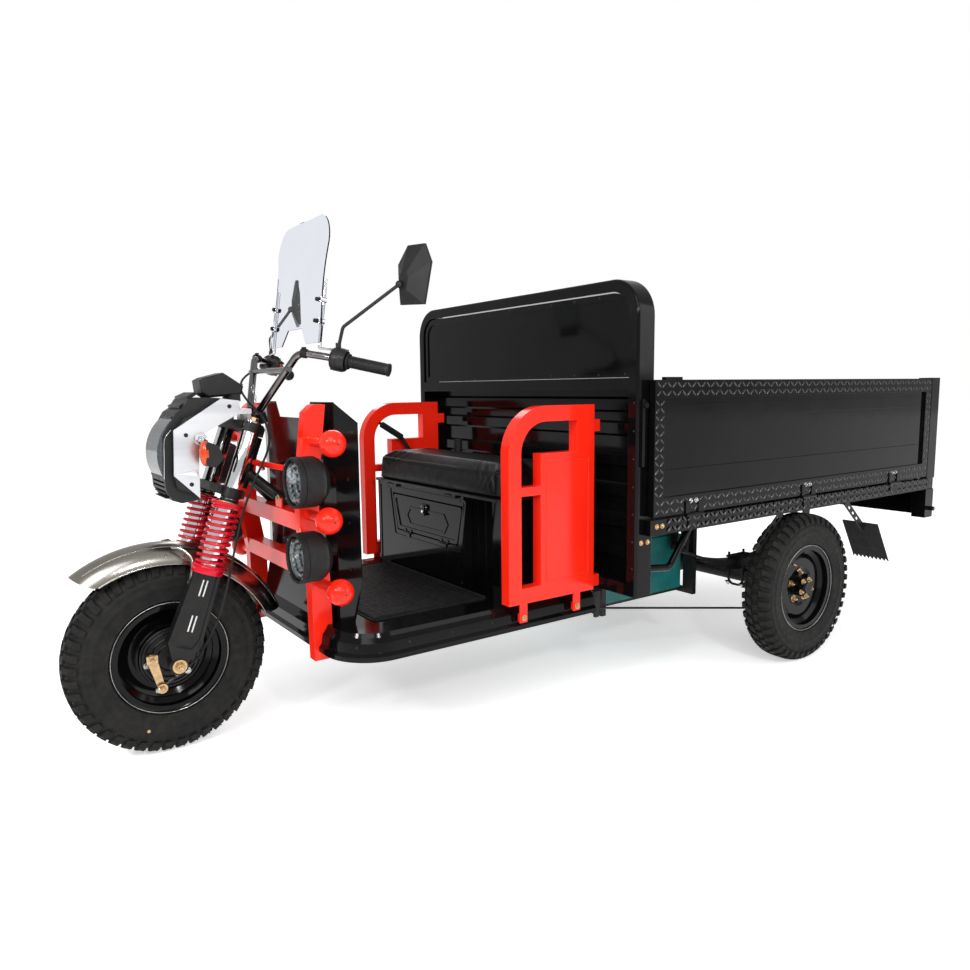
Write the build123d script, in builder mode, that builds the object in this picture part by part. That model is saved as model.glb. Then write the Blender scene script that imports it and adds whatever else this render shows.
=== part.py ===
from build123d import *

import os
from math import cos, radians, sin, sqrt, tan

# Cargo tricycle. +X is forward, +Y is left, +Z is up. The origin is on the ground under the
# middle of the bounding box. Lengths are millimetres and angles are degrees. Stations along
# the vehicle are given as distances ahead of the rear axle and turned into X by ahead().

# ---------------------------------------------------------------- driving dimensions
wheelbase = 2194.0
rear_track = 1360.0
rear_overhang = 1042.0  # rear axle to the back of the tailgate hinge

# wheels
tyre_radius = 288.0
tyre_width = 114.0
tread_depth = 10.0
lug_count = 16
lug_share = 0.62  # part of the pitch that a lug fills
lug_draft = 1.2  # degrees a lug's flank leans
lug_shoulder = 7.0  # how far the shoulder ring sits below the crown
lug_step = 30.0  # edge of the crown ring
rim_flange_radius = 170.0
rim_seat_radius = 152.0
rim_width = 84.0
rim_wall = 5.0
rim_well = 16.0
hub_wall = 20.0
rim_disc_offset = 14.0  # disc outboard of the wheel's middle
tyre_bead_gap = 0.5  # tyre bead over rim seat, inside one body
lug_nut_count = 5
lug_nut_circle = 56.0
lug_nut_radius = 10.0
drum_radius = 96.0
drum_wall = 6.0
axle_running_gap = 0.05

# steering
rake = 20.3
yoke_offset = 50.0  # fork line ahead of the steering axis
fork_spacing = 234.0
fork_leg_half = 16.0
fork_leg_ridge = 4.0
fork_tube_radius = 19.0
spring_radius = 44.0
spring_wire_radius = 6.5
spring_turns = 7
spring_seat = 9.0
spring_bottom_z = 560.0
spring_top_z = 742.0
fork_top_z = 975.0
head_tube_radius = 30.0
head_tube_wall = 9.0
head_bottom_z = 777.0
head_top_z = 930.0
yoke_thickness = 26.0
yoke_clamp_wall = 12.0
stem_radius = 14.0
front_axle_radius = 8.0
brake_plate_radius = 88.0
mudguard_radius = 394.0
mudguard_rise = -49.0  # mudguard's arc centre above the axle
mudguard_lead = 20.0  # and ahead of it
mudguard_half_width = 66.0
mudguard_crown = 60.0
mudguard_wall = 2.5
bar_radius = 11.1
bar_bend = 45.0
grip_radius = 17.0
grip_gap = 0.3
lamp_half_width = 80.0
lamp_plate_y = 104.0
lamp_plate_wall = 5.0
pod_half_width = 46.0
screen_half_width = 204.0
screen_height = 392.0
screen_wall = 4.0
screen_lean = 8.0

# load box
box_half_width = 702.0
board_thickness = 25.0
board_front = 848.0  # ahead of the rear axle
board_rear = -954.0
floor_bottom_z = 589.0
floor_rail_height = 51.0
floor_sheet = 3.0
board_gap = 10.0  # board over floor rail, at the hinge
board_top_z = 1092.0
board_top_rail = 58.0
board_bottom_rail = 61.0
board_stile = 46.0
panel_sheet = 3.0
panel_setback = 10.0
swage_height = 46.0
swage_rise = 7.0
corner_post = 60.0
hinge_radius = 7.0
hinge_pin_radius = 3.0
hinge_pin_gap = 0.05
hinge_knuckle = 40.0
hinge_gap = 1.5
hinge_stand_off = 5.0  # hinge axis outside the board's face
hinge_leaf = 46.0
moving_gap = 5.0

# hoop and headboard
hoop_front = 896.0
hoop_depth = 78.0
hoop_tube = 40.0
hoop_half_width = 672.0
hoop_top_z = 1415.0
hoop_corner = 120.0
hoop_edge = 9.0
post_bottom_z = 386.0
headboard_gap = 4.0
headboard_bottom_z = 1101.0
headboard_thickness = 24.0
headboard_rim = 22.0
headboard_recess = 5.0

# cab
deck_top_z = 375.0
deck_bottom_z = 298.0
deck_front = 1832.0
deck_half_width = 490.0
deck_corner = 150.0
deck_flare = 30.0
mat_front = 1680.0
mat_half_width = 350.0
mat_thickness = 3.0
shield_wall = 4.0
shield_half_width = 345.0
shield_edge_x = 1712.0
shield_face_x = 1772.0
shield_top_z = 1036.0
seat_front = 1252.0
seat_left_front = 1190.0
seat_split_y = 205.0
seat_half_width = 420.0
seat_top_z = 705.0
seat_sheet = 3.0
seat_flange = 30.0
pan_thickness = 9.0
pan_overhang = 6.0
lid_gap = 1.0
cushion_height = 112.0
cushion_back = 985.0
cushion_edge = 28.0
door_bottom_z = 527.0
door_top_z = 662.0
door_middle_y = -48.0
door_top_half = 245.0
door_bottom_half = 210.0
door_thickness = 12.0
door_hinge_radius = 4.0

# guards
guard_tube_x = 50.0
guard_tube_y = 40.0
guard_outer_y = 510.0
guard_bottom_z = 388.0
guard_top_z = 1015.0
guard_front = 1287.0
guard_rear = 928.0
guard_arch = 150.0
guard_panel_front = 1158.0
guard_panel_top = 864.0
guard_bar_z = 747.0
guard_bar_height = 28.0
front_guard_x = 1815.0
front_guard_y = 270.0
front_guard_tube = 60.0
front_guard_wide = 40.0
front_guard_bottom_z = 270.0
front_guard_top_z = 1030.0
ball_radius = 38.0
ball_y = 425.0
guard_lamp_radius = 70.0
guard_lamp_depth = 90.0
guard_lamp_y = 366.0
guard_lamp_front = 1922.0

# chassis
rail_y = 430.0
rail_width = 50.0
rail_top_z = 585.0
rail_height = 60.0
deck_rail_y = 220.0
deck_rail_width = 40.0
neck_radius = 17.0
battery_half_width = 385.0
battery_front = 800.0
battery_rear = 330.0
battery_bottom_z = 275.0
battery_top_z = 512.0
cradle_bar = 20.0
spring_leaf_width = 50.0
spring_leaf_thickness = 8.0
spring_leaf_count = 5
spring_half_length = 400.0
spring_rise = 95.0
spring_eye_radius = 17.0
spring_pin_radius = 7.0
hanger_wall = 6.0
axle_tube_radius = 32.0
spindle_radius = 17.0
linkage_x = 858.0
linkage_z = 340.0
linkage_radius = 9.0
linkage_arm_y = 451.0

# ---------------------------------------------------------------- derived places
rear_axle_x = -(wheelbase + tyre_radius - rear_overhang) / 2
front_axle_x = rear_axle_x + wheelbase
axle_z = tyre_radius
rear_wheel_y = rear_track / 2
fork_y = fork_spacing / 2
lean = tan(radians(rake))
rail_bottom_z = rail_top_z - rail_height
floor_top_z = floor_bottom_z + floor_rail_height
floor_rail_y = box_half_width - hinge_stand_off
leaf_stack = spring_leaf_count * spring_leaf_thickness
spring_top = axle_z + axle_tube_radius + leaf_stack
spring_eye_z = spring_top + spring_rise


def ahead(distance):
    """The X of a station that lies this far ahead of the rear axle."""
    return rear_axle_x + distance


def fork_x(z):
    """The X of the fork legs' centre line at a height."""
    return front_axle_x - (z - axle_z) * lean


def steer_x(z):
    """The X of the steering axis at a height."""
    return fork_x(z) - yoke_offset / cos(radians(rake))


def along_fork(z, side=0):
    """A plane square to the fork, at a height along a leg, or along the steering axis."""
    x = fork_x(z) if side else steer_x(z)
    return Plane(origin=(x, side * fork_y, z), x_dir=(1, 0, lean), z_dir=(-lean, 0, 1))


def span(side, near, far):
    """The range of Y between two distances from the middle, on the left (1) or right (-1)."""
    return sorted((side * near, side * far))


def block(x_range, y_range, z_range, mode=Mode.ADD):
    """A block between limits along X, Y and Z."""
    size = [high - low for low, high in (x_range, y_range, z_range)]
    middle = [(low + high) / 2 for low, high in (x_range, y_range, z_range)]
    with Locations(tuple(middle)):
        Box(*size, mode=mode)


def rod(start, end, radius, mode=Mode.ADD):
    """A round bar between two points."""
    start, end = Vector(*start), Vector(*end)
    with Locations(Plane(origin=start, z_dir=end - start)):
        Cylinder(radius, (end - start).length, align=(Align.CENTER, Align.CENTER, Align.MIN), mode=mode)


def bent_tube(points, radius, bend):
    """A round tube along straight runs joined by bends."""
    with BuildLine(mode=Mode.PRIVATE) as route:
        FilletPolyline(*points, radius=bend)
    with BuildSketch(Plane(origin=route.line @ 0, z_dir=route.line % 0), mode=Mode.PRIVATE) as section:
        Circle(radius)
    sweep(sections=section.sketch, path=route.line)


def side_plate(points, side, near, far, corner=0, mode=Mode.ADD):
    """A plate with an outline drawn in X and Z, between two distances from the middle."""
    with BuildSketch(Plane(origin=(0, side * near, 0), x_dir=(1, 0, 0), z_dir=(0, -1, 0)), mode=Mode.PRIVATE) as face:
        with BuildLine():
            Polyline(*points, close=True)
        make_face()
        if corner:
            fillet(face.vertices(), corner)
    extrude(face.sketch, amount=-side * (far - near), mode=mode)


def cross_plate(points, x, thickness, corner=0, mode=Mode.ADD):
    """A plate with an outline drawn in Y and Z, from an X forward."""
    with BuildSketch(Plane(origin=(x, 0, 0), x_dir=(0, 1, 0), z_dir=(1, 0, 0)), mode=Mode.PRIVATE) as face:
        with BuildLine():
            Polyline(*points, close=True)
        make_face()
        if corner:
            fillet(face.vertices(), corner)
    extrude(face.sketch, amount=thickness, mode=mode)


def finish(builder, label):
    """Names a finished piece and writes it."""
    builder.part.label = label
    export_step(builder.part, f"parts/{label}.step")


os.makedirs("parts", exist_ok=True)

# ---------------------------------------------------------------- wheels
crown_radius = tyre_radius - tread_depth
bead_radius = rim_seat_radius + tyre_bead_gap


def lug_ring(centre, near, far, tip, root, first):
    """One ring of flat-faced lugs between two distances along the axle."""
    pitch = 360 / lug_count
    half = pitch * lug_share / 2
    corners = []
    for lug in range(lug_count):
        for radius, turn in ((root, -half - lug_draft), (tip, -half), (tip, half), (root, half + lug_draft)):
            angle = radians(first + lug * pitch + turn)
            corners.append((radius * cos(angle), radius * sin(angle)))
    plane = Plane(origin=(centre[0], centre[1] + near, centre[2]), x_dir=(1, 0, 0), z_dir=(0, 1, 0))
    with BuildSketch(plane, mode=Mode.PRIVATE) as ring:
        with BuildLine():
            Polyline(*corners, close=True)
        make_face()
        Circle(rim_flange_radius + 54, mode=Mode.SUBTRACT)
    extrude(ring.sketch, amount=far - near)


def flat_sided(centre, profile, mode=Mode.ADD):
    """A body with flat sides round a wheel's axle, through (radius, distance along the axle) stations."""
    rings = []
    for radius, y in profile:
        plane = Plane(origin=(centre[0], centre[1] + y, centre[2]), x_dir=(1, 0, 0), z_dir=(0, 1, 0))
        with BuildSketch(plane, mode=Mode.PRIVATE) as ring:
            RegularPolygon(radius, 2 * lug_count, major_radius=False)
        rings.append(ring.sketch)
    for low_ring, high_ring in zip(rings, rings[1:]):
        loft([low_ring, high_ring], ruled=True, mode=mode)


def make_tyre(centre, label):
    """A tyre with a crown ring and a shoulder ring of lugs a side, the sides half a pitch apart."""
    half = tyre_width / 2
    shoulder = half - 9
    bead_y = rim_width / 2 - 4 * rim_wall
    wall_radius = (rim_flange_radius + crown_radius) / 2
    outside = [(wall_radius + 6, half), (crown_radius - 16, half - 7)]
    inside = [(wall_radius - 6, half), (rim_flange_radius + 20, half - 7), (bead_radius, bead_y)]
    pitch = 360 / lug_count
    with BuildPart() as tyre:
        for mode, stations in ((Mode.ADD, outside), (Mode.SUBTRACT, inside)):
            flat_sided(centre, [(r, -y) for r, y in stations] + list(reversed(stations)), mode)
        for side, first in ((1, pitch * lug_share / 2), (-1, pitch * (lug_share + 1) / 2)):
            lug_ring(centre, *span(side, 0, lug_step), tyre_radius, crown_radius + 1, first)
            lug_ring(centre, *span(side, lug_step, shoulder), tyre_radius - lug_shoulder,
                     crown_radius + 1 - lug_shoulder, first)
    finish(tyre, label)


def make_rim(centre, side, bore_radius, hub_inner, hub_outer, drum_edge, label, nuts):
    """A pressed steel wheel. The disc is on the given side, the brake drum opens on the other."""
    with BuildPart() as rim:
        with BuildSketch(Plane(origin=centre, x_dir=(1, 0, 0), z_dir=(0, 0, 1))):
            with BuildLine():
                half = rim_width / 2
                well = rim_seat_radius - rim_well
                outer = [
                    (rim_flange_radius, -half),
                    (rim_flange_radius, -half + rim_wall),
                    (rim_seat_radius, -half + rim_wall),
                    (rim_seat_radius, -half / 3),
                    (well, -half / 5),
                ]
                inner = [
                    (well - rim_wall, -half / 5),
                    (rim_seat_radius - rim_wall, -half / 3 - rim_wall),
                    (rim_seat_radius - rim_wall, -half),
                ]
                Polyline(*outer, *[(x, -y) for x, y in reversed(outer)],
                         *[(x, -y) for x, y in reversed(inner)], *inner, close=True)
            make_face()
            with BuildLine():
                disc = side * rim_disc_offset
                face = side * rim_wall
                Polyline(
                    (well - 2, face / 2),
                    (112, disc),
                    (78, disc),
                    (66, disc - face),
                    (bore_radius + 14, disc - face),
                    (bore_radius + 14, disc - 2 * face),
                    (68, disc - 2 * face),
                    (80, disc - face),
                    (110, disc - face),
                    (well - 2, -face / 2),
                    close=True,
                )
            make_face()
            hub_middle = side * (hub_outer - hub_inner) / 2
            with Locations((bore_radius + hub_wall / 2, hub_middle)):
                Rectangle(hub_wall, hub_outer + hub_inner)
            drum_back = rim_disc_offset - 2 * rim_wall
            with Locations((drum_radius - drum_wall / 2, side * (drum_back - drum_edge) / 2)):
                Rectangle(drum_wall, drum_back + drum_edge)
            with Locations(((drum_radius + bore_radius + 14) / 2, side * (drum_back - drum_wall / 2))):
                Rectangle(drum_radius - bore_radius - 14, drum_wall)
        revolve(axis=Axis(centre, (0, 1, 0)))
        if nuts:
            seat_y = centre[1] + side * (rim_disc_offset - rim_wall)
            with BuildSketch(Plane(origin=(centre[0], seat_y, centre[2]), x_dir=(1, 0, 0), z_dir=(0, side, 0))):
                with PolarLocations(lug_nut_circle, lug_nut_count):
                    RegularPolygon(lug_nut_radius, 6)
            extrude(amount=lug_nut_radius + 4)
    finish(rim, label)


front_drum_edge = 26.0
front_hub_inner = 30.0
front_hub_outer = 40.0
front_centre = (front_axle_x, 0.0, axle_z)
make_tyre(front_centre, "front_tyre")
make_rim(front_centre, -1, front_axle_radius + axle_running_gap, front_hub_inner, front_hub_outer,
         front_drum_edge, "front_rim", False)

wheel_hub_inner = 60.0
wheel_hub_outer = 40.0
rear_drum_edge = 74.0
for side, name in ((1, "left"), (-1, "right")):
    centre = (rear_axle_x, side * rear_wheel_y, axle_z)
    make_tyre(centre, f"rear_tyre_{name}")
    make_rim(centre, side, spindle_radius + axle_running_gap, wheel_hub_inner, wheel_hub_outer,
             rear_drum_edge, f"rear_rim_{name}", True)

# ---------------------------------------------------------------- chassis frame
deck_rail_rear = 815.0
deck_rail_front = 1700.0
deck_rail_z = (deck_bottom_z + 6, deck_bottom_z + 62)
cradle_x = (battery_rear - cradle_bar, battery_front)
spring_hangers = (-spring_half_length, spring_half_length)
with BuildPart() as chassis_frame:
    for side in (1, -1):
        rail_range = span(side, rail_y - rail_width / 2, rail_y + rail_width / 2)
        deck_range = span(side, deck_rail_y - deck_rail_width / 2, deck_rail_y + deck_rail_width / 2)
        block((ahead(-960), ahead(hoop_front - hoop_depth)), rail_range, (rail_bottom_z, rail_top_z))
        block((ahead(deck_rail_rear), ahead(deck_rail_front)), deck_range, deck_rail_z)
        block((ahead(deck_rail_rear), ahead(deck_rail_rear + 50)), deck_range, (deck_rail_z[0], rail_top_z))
        for x in spring_hangers:
            for face in (-1, 1):
                inner = rail_y + face * (spring_leaf_width / 2 + 1)
                cheek = span(side, inner, inner + face * hanger_wall)
                outline = [(ahead(x) - 26, rail_bottom_z + 1), (ahead(x) - 14, spring_eye_z - 16),
                           (ahead(x) + 14, spring_eye_z - 16), (ahead(x) + 26, rail_bottom_z + 1)]
                side_plate(outline, 1, *cheek)
            pin_y = span(side, rail_y - spring_leaf_width / 2 - 12, rail_y + spring_leaf_width / 2 + 12)
            rod((ahead(x), pin_y[0], spring_eye_z), (ahead(x), pin_y[1], spring_eye_z), spring_pin_radius)
        for x in cradle_x:
            hanger_y = span(side, battery_half_width + 5, rail_y + 10)
            block((ahead(x), ahead(x + cradle_bar)), hanger_y, (battery_bottom_z - cradle_bar, rail_bottom_z + 1))
        neck = [
            (ahead(deck_rail_front - 10), side * deck_rail_y, deck_rail_z[1] - 28),
            (ahead(1735), side * 190, 400),
            (ahead(1765), side * 90, 660),
            (steer_x(head_bottom_z + 40) - 16, side * 14, head_bottom_z + 40),
        ]
        bent_tube(neck, neck_radius, 60)
    cross_y = (-rail_y, rail_y)
    for x in (-950, -420, battery_rear, battery_front - 35):
        block((ahead(x), ahead(x + 50)), cross_y, (rail_bottom_z + 8, rail_top_z - 4))
    for x in cradle_x:
        block((ahead(x), ahead(x + cradle_bar)), (-rail_y - 10, rail_y + 10),
              (battery_bottom_z - cradle_bar, battery_bottom_z))
    for y in (-battery_half_width + 30, 0, battery_half_width - 30):
        block((ahead(battery_rear), ahead(battery_front)), (y - cradle_bar, y + cradle_bar),
              (battery_bottom_z - 12, battery_bottom_z))
    block((ahead(deck_rail_rear), ahead(deck_rail_rear + 50)), (-deck_rail_y, deck_rail_y),
          (rail_bottom_z, rail_top_z))
    block((ahead(deck_rail_front - 40), ahead(deck_rail_front)), (-deck_rail_y, deck_rail_y), deck_rail_z)
    rod(*[(steer_x(z), 0, z) for z in (head_bottom_z, head_top_z)], head_tube_radius)
    rod(*[(steer_x(z), 0, z) for z in (head_bottom_z - 5, head_top_z + 5)],
        head_tube_radius - head_tube_wall, mode=Mode.SUBTRACT)
    shaft_y = linkage_arm_y + 20
    rod((ahead(linkage_x), -shaft_y, linkage_z), (ahead(linkage_x), shaft_y, linkage_z), linkage_radius,
        mode=Mode.SUBTRACT)
finish(chassis_frame, "chassis_frame")

# ---------------------------------------------------------------- floor deck, mat and leg shield
apron_top_z = 520.0
apron_half_width = 245.0
with BuildPart() as floor_deck:
    levels = [
        (deck_bottom_z, 0),
        (deck_bottom_z + 14, 0),
        (deck_bottom_z + 24, -9),
        (deck_top_z - 26, -13),
        (deck_top_z - 12, -deck_flare + 6),
        (deck_top_z, -deck_flare),
    ]
    deck_rear = hoop_front - 260
    for (low_z, low_grow), (high_z, high_grow) in zip(levels, levels[1:]):
        for z, grow in ((low_z, low_grow), (high_z, high_grow)):
            with BuildSketch(Plane.XY.offset(z)):
                with Locations(((ahead(deck_front) + ahead(deck_rear)) / 2, 0)):
                    RectangleRounded(deck_front - deck_rear + 2 * grow, 2 * (deck_half_width + grow),
                                     deck_corner + grow)
        loft(ruled=True)
    block((ahead(deck_rear) - 20, ahead(hoop_front)), (-deck_half_width - 5, deck_half_width + 5),
          (deck_bottom_z - 5, deck_top_z + 5), mode=Mode.SUBTRACT)
    block((ahead(hoop_front) - 1, ahead(deck_front - 110)), (-deck_half_width + 40, deck_half_width - 40),
          (deck_bottom_z - 1, deck_top_z - 6), mode=Mode.SUBTRACT)
    apron = [(ahead(deck_front) - deck_flare - 1, deck_top_z - 2), (ahead(shield_face_x), apron_top_z),
             (ahead(shield_face_x) - shield_wall, apron_top_z), (ahead(shield_face_x) - shield_wall, deck_top_z - 2)]
    side_plate(apron, 1, -apron_half_width, apron_half_width)
    add(chassis_frame.part, mode=Mode.SUBTRACT)
finish(floor_deck, "floor_deck")

with BuildPart() as floor_mat:
    with BuildSketch(Plane.XY.offset(deck_top_z)):
        with Locations(((ahead(mat_front) + ahead(seat_front)) / 2 + 1, 0)):
            RectangleRounded(mat_front - seat_front - 2, 2 * mat_half_width, 20)
    extrude(amount=mat_thickness)
    for strip in range(5):
        x = ahead(seat_front) + 60 + strip * 78
        block((x, x + 6), (-mat_half_width + 30, mat_half_width - 30),
              (deck_top_z + mat_thickness, deck_top_z + mat_thickness + 2))
finish(floor_mat, "floor_mat")

ear_inner_y = 150.0
ear_dip_z = 985.0
with BuildPart() as leg_shield:
    with BuildSketch(Plane.XY.offset(deck_top_z)):
        with BuildLine():
            face, edge = ahead(shield_face_x), ahead(shield_edge_x)
            front = [(edge, -shield_half_width), (face - 12, -shield_half_width + 55), (face, -230),
                     (face, 230), (face - 12, shield_half_width - 55), (edge, shield_half_width)]
            back = [(x - shield_wall, y * (1 - shield_wall / shield_half_width)) for x, y in front]
            Polyline(*front, *reversed(back), close=True)
        make_face()
    extrude(amount=shield_top_z - deck_top_z)
    top = shield_top_z + 1
    dip = [(-ear_inner_y, top), (-ear_inner_y + 34, ear_dip_z), (ear_inner_y - 34, ear_dip_z), (ear_inner_y, top)]
    cross_plate(dip, ahead(shield_edge_x) - 20, 100, mode=Mode.SUBTRACT)
    for side in (1, -1):
        corner = [(side * (shield_half_width - 62), top), (side * (shield_half_width + 1), shield_top_z - 66),
                  (side * (shield_half_width + 1), top)]
        cross_plate(corner, ahead(shield_edge_x) - 20, 100, mode=Mode.SUBTRACT)
        foot = [(side * (shield_half_width + 1), deck_top_z - 1), (side * (shield_half_width + 1), deck_top_z + 150),
                (side * (shield_half_width - 24), deck_top_z - 1)]
        cross_plate(foot, ahead(shield_edge_x) - 20, 100, mode=Mode.SUBTRACT)
    add(chassis_frame.part, mode=Mode.SUBTRACT)
    add(floor_deck.part, mode=Mode.SUBTRACT)
finish(leg_shield, "leg_shield")

# ---------------------------------------------------------------- front guard, balls and lamps
guard_x = (ahead(front_guard_x) - front_guard_tube / 2, ahead(front_guard_x) + front_guard_tube / 2)
upright_half = front_guard_wide / 2
ball_places = ((505.0, 3), (712.0, 30), (925.0, 12))
cross_places = ((540.0, 6), (690.0, 30))
cross_height = 50.0
knee = 30.0  # how far the upright bows forward at mid height
guard_bow = ((front_guard_bottom_z, 0), (525.0, 4), (675.0, knee), (785.0, knee), (front_guard_top_z - 22, 3))
lamp_levels = (606.0, 818.0)
lamp_bracket = 6.0
brace_radius = 9.0
with BuildPart() as front_guard:
    for side in (1, -1):
        upright_y = span(side, front_guard_y - upright_half, front_guard_y + upright_half)
        rear_edge = [(guard_x[0] + bow, z) for z, bow in guard_bow]
        front_edge = [(guard_x[1] + bow, z) for z, bow in guard_bow]
        upright = [*front_edge, (guard_x[1] - 22, front_guard_top_z), (guard_x[0], front_guard_top_z),
                   *reversed(rear_edge)]
        side_plate(upright, 1, *upright_y)
        block((ahead(deck_rail_front), guard_x[0]), upright_y, (deck_bottom_z + 10, deck_bottom_z + 50))
        for z, bow in ball_places:
            x = ahead(front_guard_x) + bow
            rod((x, side * (front_guard_y + upright_half - 1), z), (x, side * ball_y, z), 16)
            with Locations((x, side * ball_y, z)):
                Sphere(ball_radius)
        for z in lamp_levels:
            arm_x = ahead(guard_lamp_front) - guard_lamp_depth
            block((arm_x, arm_x + lamp_bracket), span(side, front_guard_y, guard_lamp_y + 14), (z - 20, z + 20))
        brace = [(guard_x[0], side * (front_guard_y - 6), 800), (ahead(1832), side * 172, 832),
                 (ahead(1912), side * 22, 850)]
        bent_tube(brace, brace_radius, 60)
    for z, bow in cross_places:
        block((guard_x[0] + 14 + bow, guard_x[1] + bow), (-front_guard_y, front_guard_y),
              (z - cross_height / 2, z + cross_height / 2))
        for side in (1, -1):
            block((ahead(shield_face_x), guard_x[0] + 16 + bow), span(side, 90, 120), (z - 14, z + 14))
    tab_z = cross_places[1][0] + cross_height / 2
    cross_plate([(84, tab_z), (131, tab_z), (131, tab_z + 30), (84, tab_z + 30)], guard_x[1] + knee - 10, 5)
    add(chassis_frame.part, mode=Mode.SUBTRACT)
    add(floor_deck.part, mode=Mode.SUBTRACT)
    add(leg_shield.part, mode=Mode.SUBTRACT)
finish(front_guard, "front_guard")

lens_recess = 7.0
lamp_rim = 7.0
bowl_depth = 46.0
bowl_radius = 20.0
with BuildPart() as guard_lamps:
    for side in (1, -1):
        for z in lamp_levels:
            front = ahead(guard_lamp_front)
            with BuildSketch(Plane(origin=(front, side * guard_lamp_y, z), x_dir=(0, 0, 1), z_dir=(0, 1, 0))):
                with BuildLine():
                    Polyline(
                        (0, -bowl_depth),
                        (bowl_radius, -bowl_depth),
                        (guard_lamp_radius - lamp_rim - 3, -lens_recess),
                        (guard_lamp_radius - lamp_rim, -lens_recess),
                        (guard_lamp_radius - lamp_rim, 0),
                        (guard_lamp_radius - 3, 0),
                        (guard_lamp_radius, -4),
                        (guard_lamp_radius - 4, -guard_lamp_depth + 18),
                        (guard_lamp_radius - 22, -guard_lamp_depth),
                        (0, -guard_lamp_depth),
                        close=True,
                    )
                make_face()
            revolve(axis=Axis((front, side * guard_lamp_y, z), (1, 0, 0)))
    add(front_guard.part, mode=Mode.SUBTRACT)
finish(guard_lamps, "guard_lamps")

with BuildPart() as guard_lamp_lenses:
    for side in (1, -1):
        for z in lamp_levels:
            centre = Vector(ahead(guard_lamp_front) - lens_recess, side * guard_lamp_y, z)
            rod(centre, centre + Vector(lens_recess - 2, 0, 0), guard_lamp_radius - lamp_rim)
finish(guard_lamp_lenses, "guard_lamp_lenses")

# ---------------------------------------------------------------- side guards
guard_foot_bottom_z = 325.0
guard_feet = (1225.0, 998.0)
guard_window_rear = 1005.0
panel_line = 3.0
for side, name in ((1, "left"), (-1, "right")):
    with BuildPart() as side_guard:
        near, far = guard_outer_y - guard_tube_y, guard_outer_y
        front, rear = ahead(guard_front), ahead(guard_rear)
        inside = front - guard_tube_x
        split_x = ahead(guard_panel_front)
        bar_top = guard_bar_z + guard_bar_height / 2
        bar_bottom = guard_bar_z - guard_bar_height / 2
        with BuildSketch(Plane(origin=(0, side * near, 0), x_dir=(1, 0, 0), z_dir=(0, -1, 0))):
            with BuildLine():
                Polyline((front - guard_arch, guard_top_z), (rear, guard_top_z), (rear, guard_bottom_z),
                         (front, guard_bottom_z), (front, guard_top_z - guard_arch))
                RadiusArc((front, guard_top_z - guard_arch), (front - guard_arch, guard_top_z), -guard_arch)
            make_face()
            with BuildLine():
                bend = guard_arch - guard_tube_x
                window_top = guard_top_z - guard_tube_x
                RadiusArc((inside, guard_top_z - guard_arch), (inside - bend, window_top), -bend)
                Polyline((inside - bend, window_top), (ahead(guard_window_rear), window_top),
                         (ahead(guard_window_rear), guard_panel_top), (split_x, guard_panel_top),
                         (split_x, bar_top), (inside, bar_top), (inside, guard_top_z - guard_arch))
            make_face(mode=Mode.SUBTRACT)
        extrude(amount=-side * guard_tube_y)
        through = span(side, near - 1, far + 1)
        block((split_x, inside), through, (guard_bottom_z + guard_tube_x, bar_bottom), mode=Mode.SUBTRACT)
        outline = [(split_x - 20, guard_bottom_z + 62), (split_x - 20, guard_panel_top - 22),
                   (rear + 26, guard_panel_top - 22), (rear + 26, guard_bottom_z + 62)]
        inset = [(split_x - 20 - panel_line, guard_bottom_z + 62 + panel_line),
                 (split_x - 20 - panel_line, guard_panel_top - 22 - panel_line),
                 (rear + 26 + panel_line, guard_panel_top - 22 - panel_line),
                 (rear + 26 + panel_line, guard_bottom_z + 62 + panel_line)]
        side_plate(outline, side, far - 1.5, far + 1, mode=Mode.SUBTRACT)
        side_plate(inset, side, far - 2, far)
        for x in guard_feet:
            tab_y = span(side, far - 12, far - 6)
            block((ahead(x) - 15, ahead(x) + 15), tab_y, (guard_foot_bottom_z, guard_bottom_z + 5))
            rod((ahead(x), tab_y[0] - 3, guard_foot_bottom_z + 16), (ahead(x), tab_y[1] + 3, guard_foot_bottom_z + 16), 8)
            block((ahead(x) - 12, ahead(x) + 12), span(side, deck_half_width - 2, far - 12),
                  (guard_foot_bottom_z + 4, guard_foot_bottom_z + 28))
        arm_z = guard_top_z - 90
        block((ahead(hoop_front), rear), span(side, far - guard_tube_y, far - 8), (arm_z, arm_z + 40))
        block((ahead(hoop_front), rear), span(side, far - guard_tube_y, far - 8),
              (guard_bottom_z + 8, guard_bottom_z + 48))
        add(floor_deck.part, mode=Mode.SUBTRACT)
    finish(side_guard, f"side_guard_{name}")

# ---------------------------------------------------------------- seat box, lid and toolbox door
def trapezoid(grow):
    """The toolbox door's outline in Y and Z, grown on every side."""
    return [
        (door_middle_y - door_top_half - grow, door_top_z + grow),
        (door_middle_y + door_top_half + grow, door_top_z + grow),
        (door_middle_y + door_bottom_half + grow, door_bottom_z - grow),
        (door_middle_y - door_bottom_half - grow, door_bottom_z - grow),
    ]


def hexagon(half_length, half_height, point):
    """A long hexagon's outline in Y and Z, about the middle of the toolbox door."""
    z = (door_bottom_z + door_top_z) / 2 - 6
    y = door_middle_y
    return [(y - half_length, z), (y - half_length + point, z + half_height), (y + half_length - point, z + half_height),
            (y + half_length, z), (y + half_length - point, z - half_height), (y - half_length + point, z - half_height)]


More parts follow.
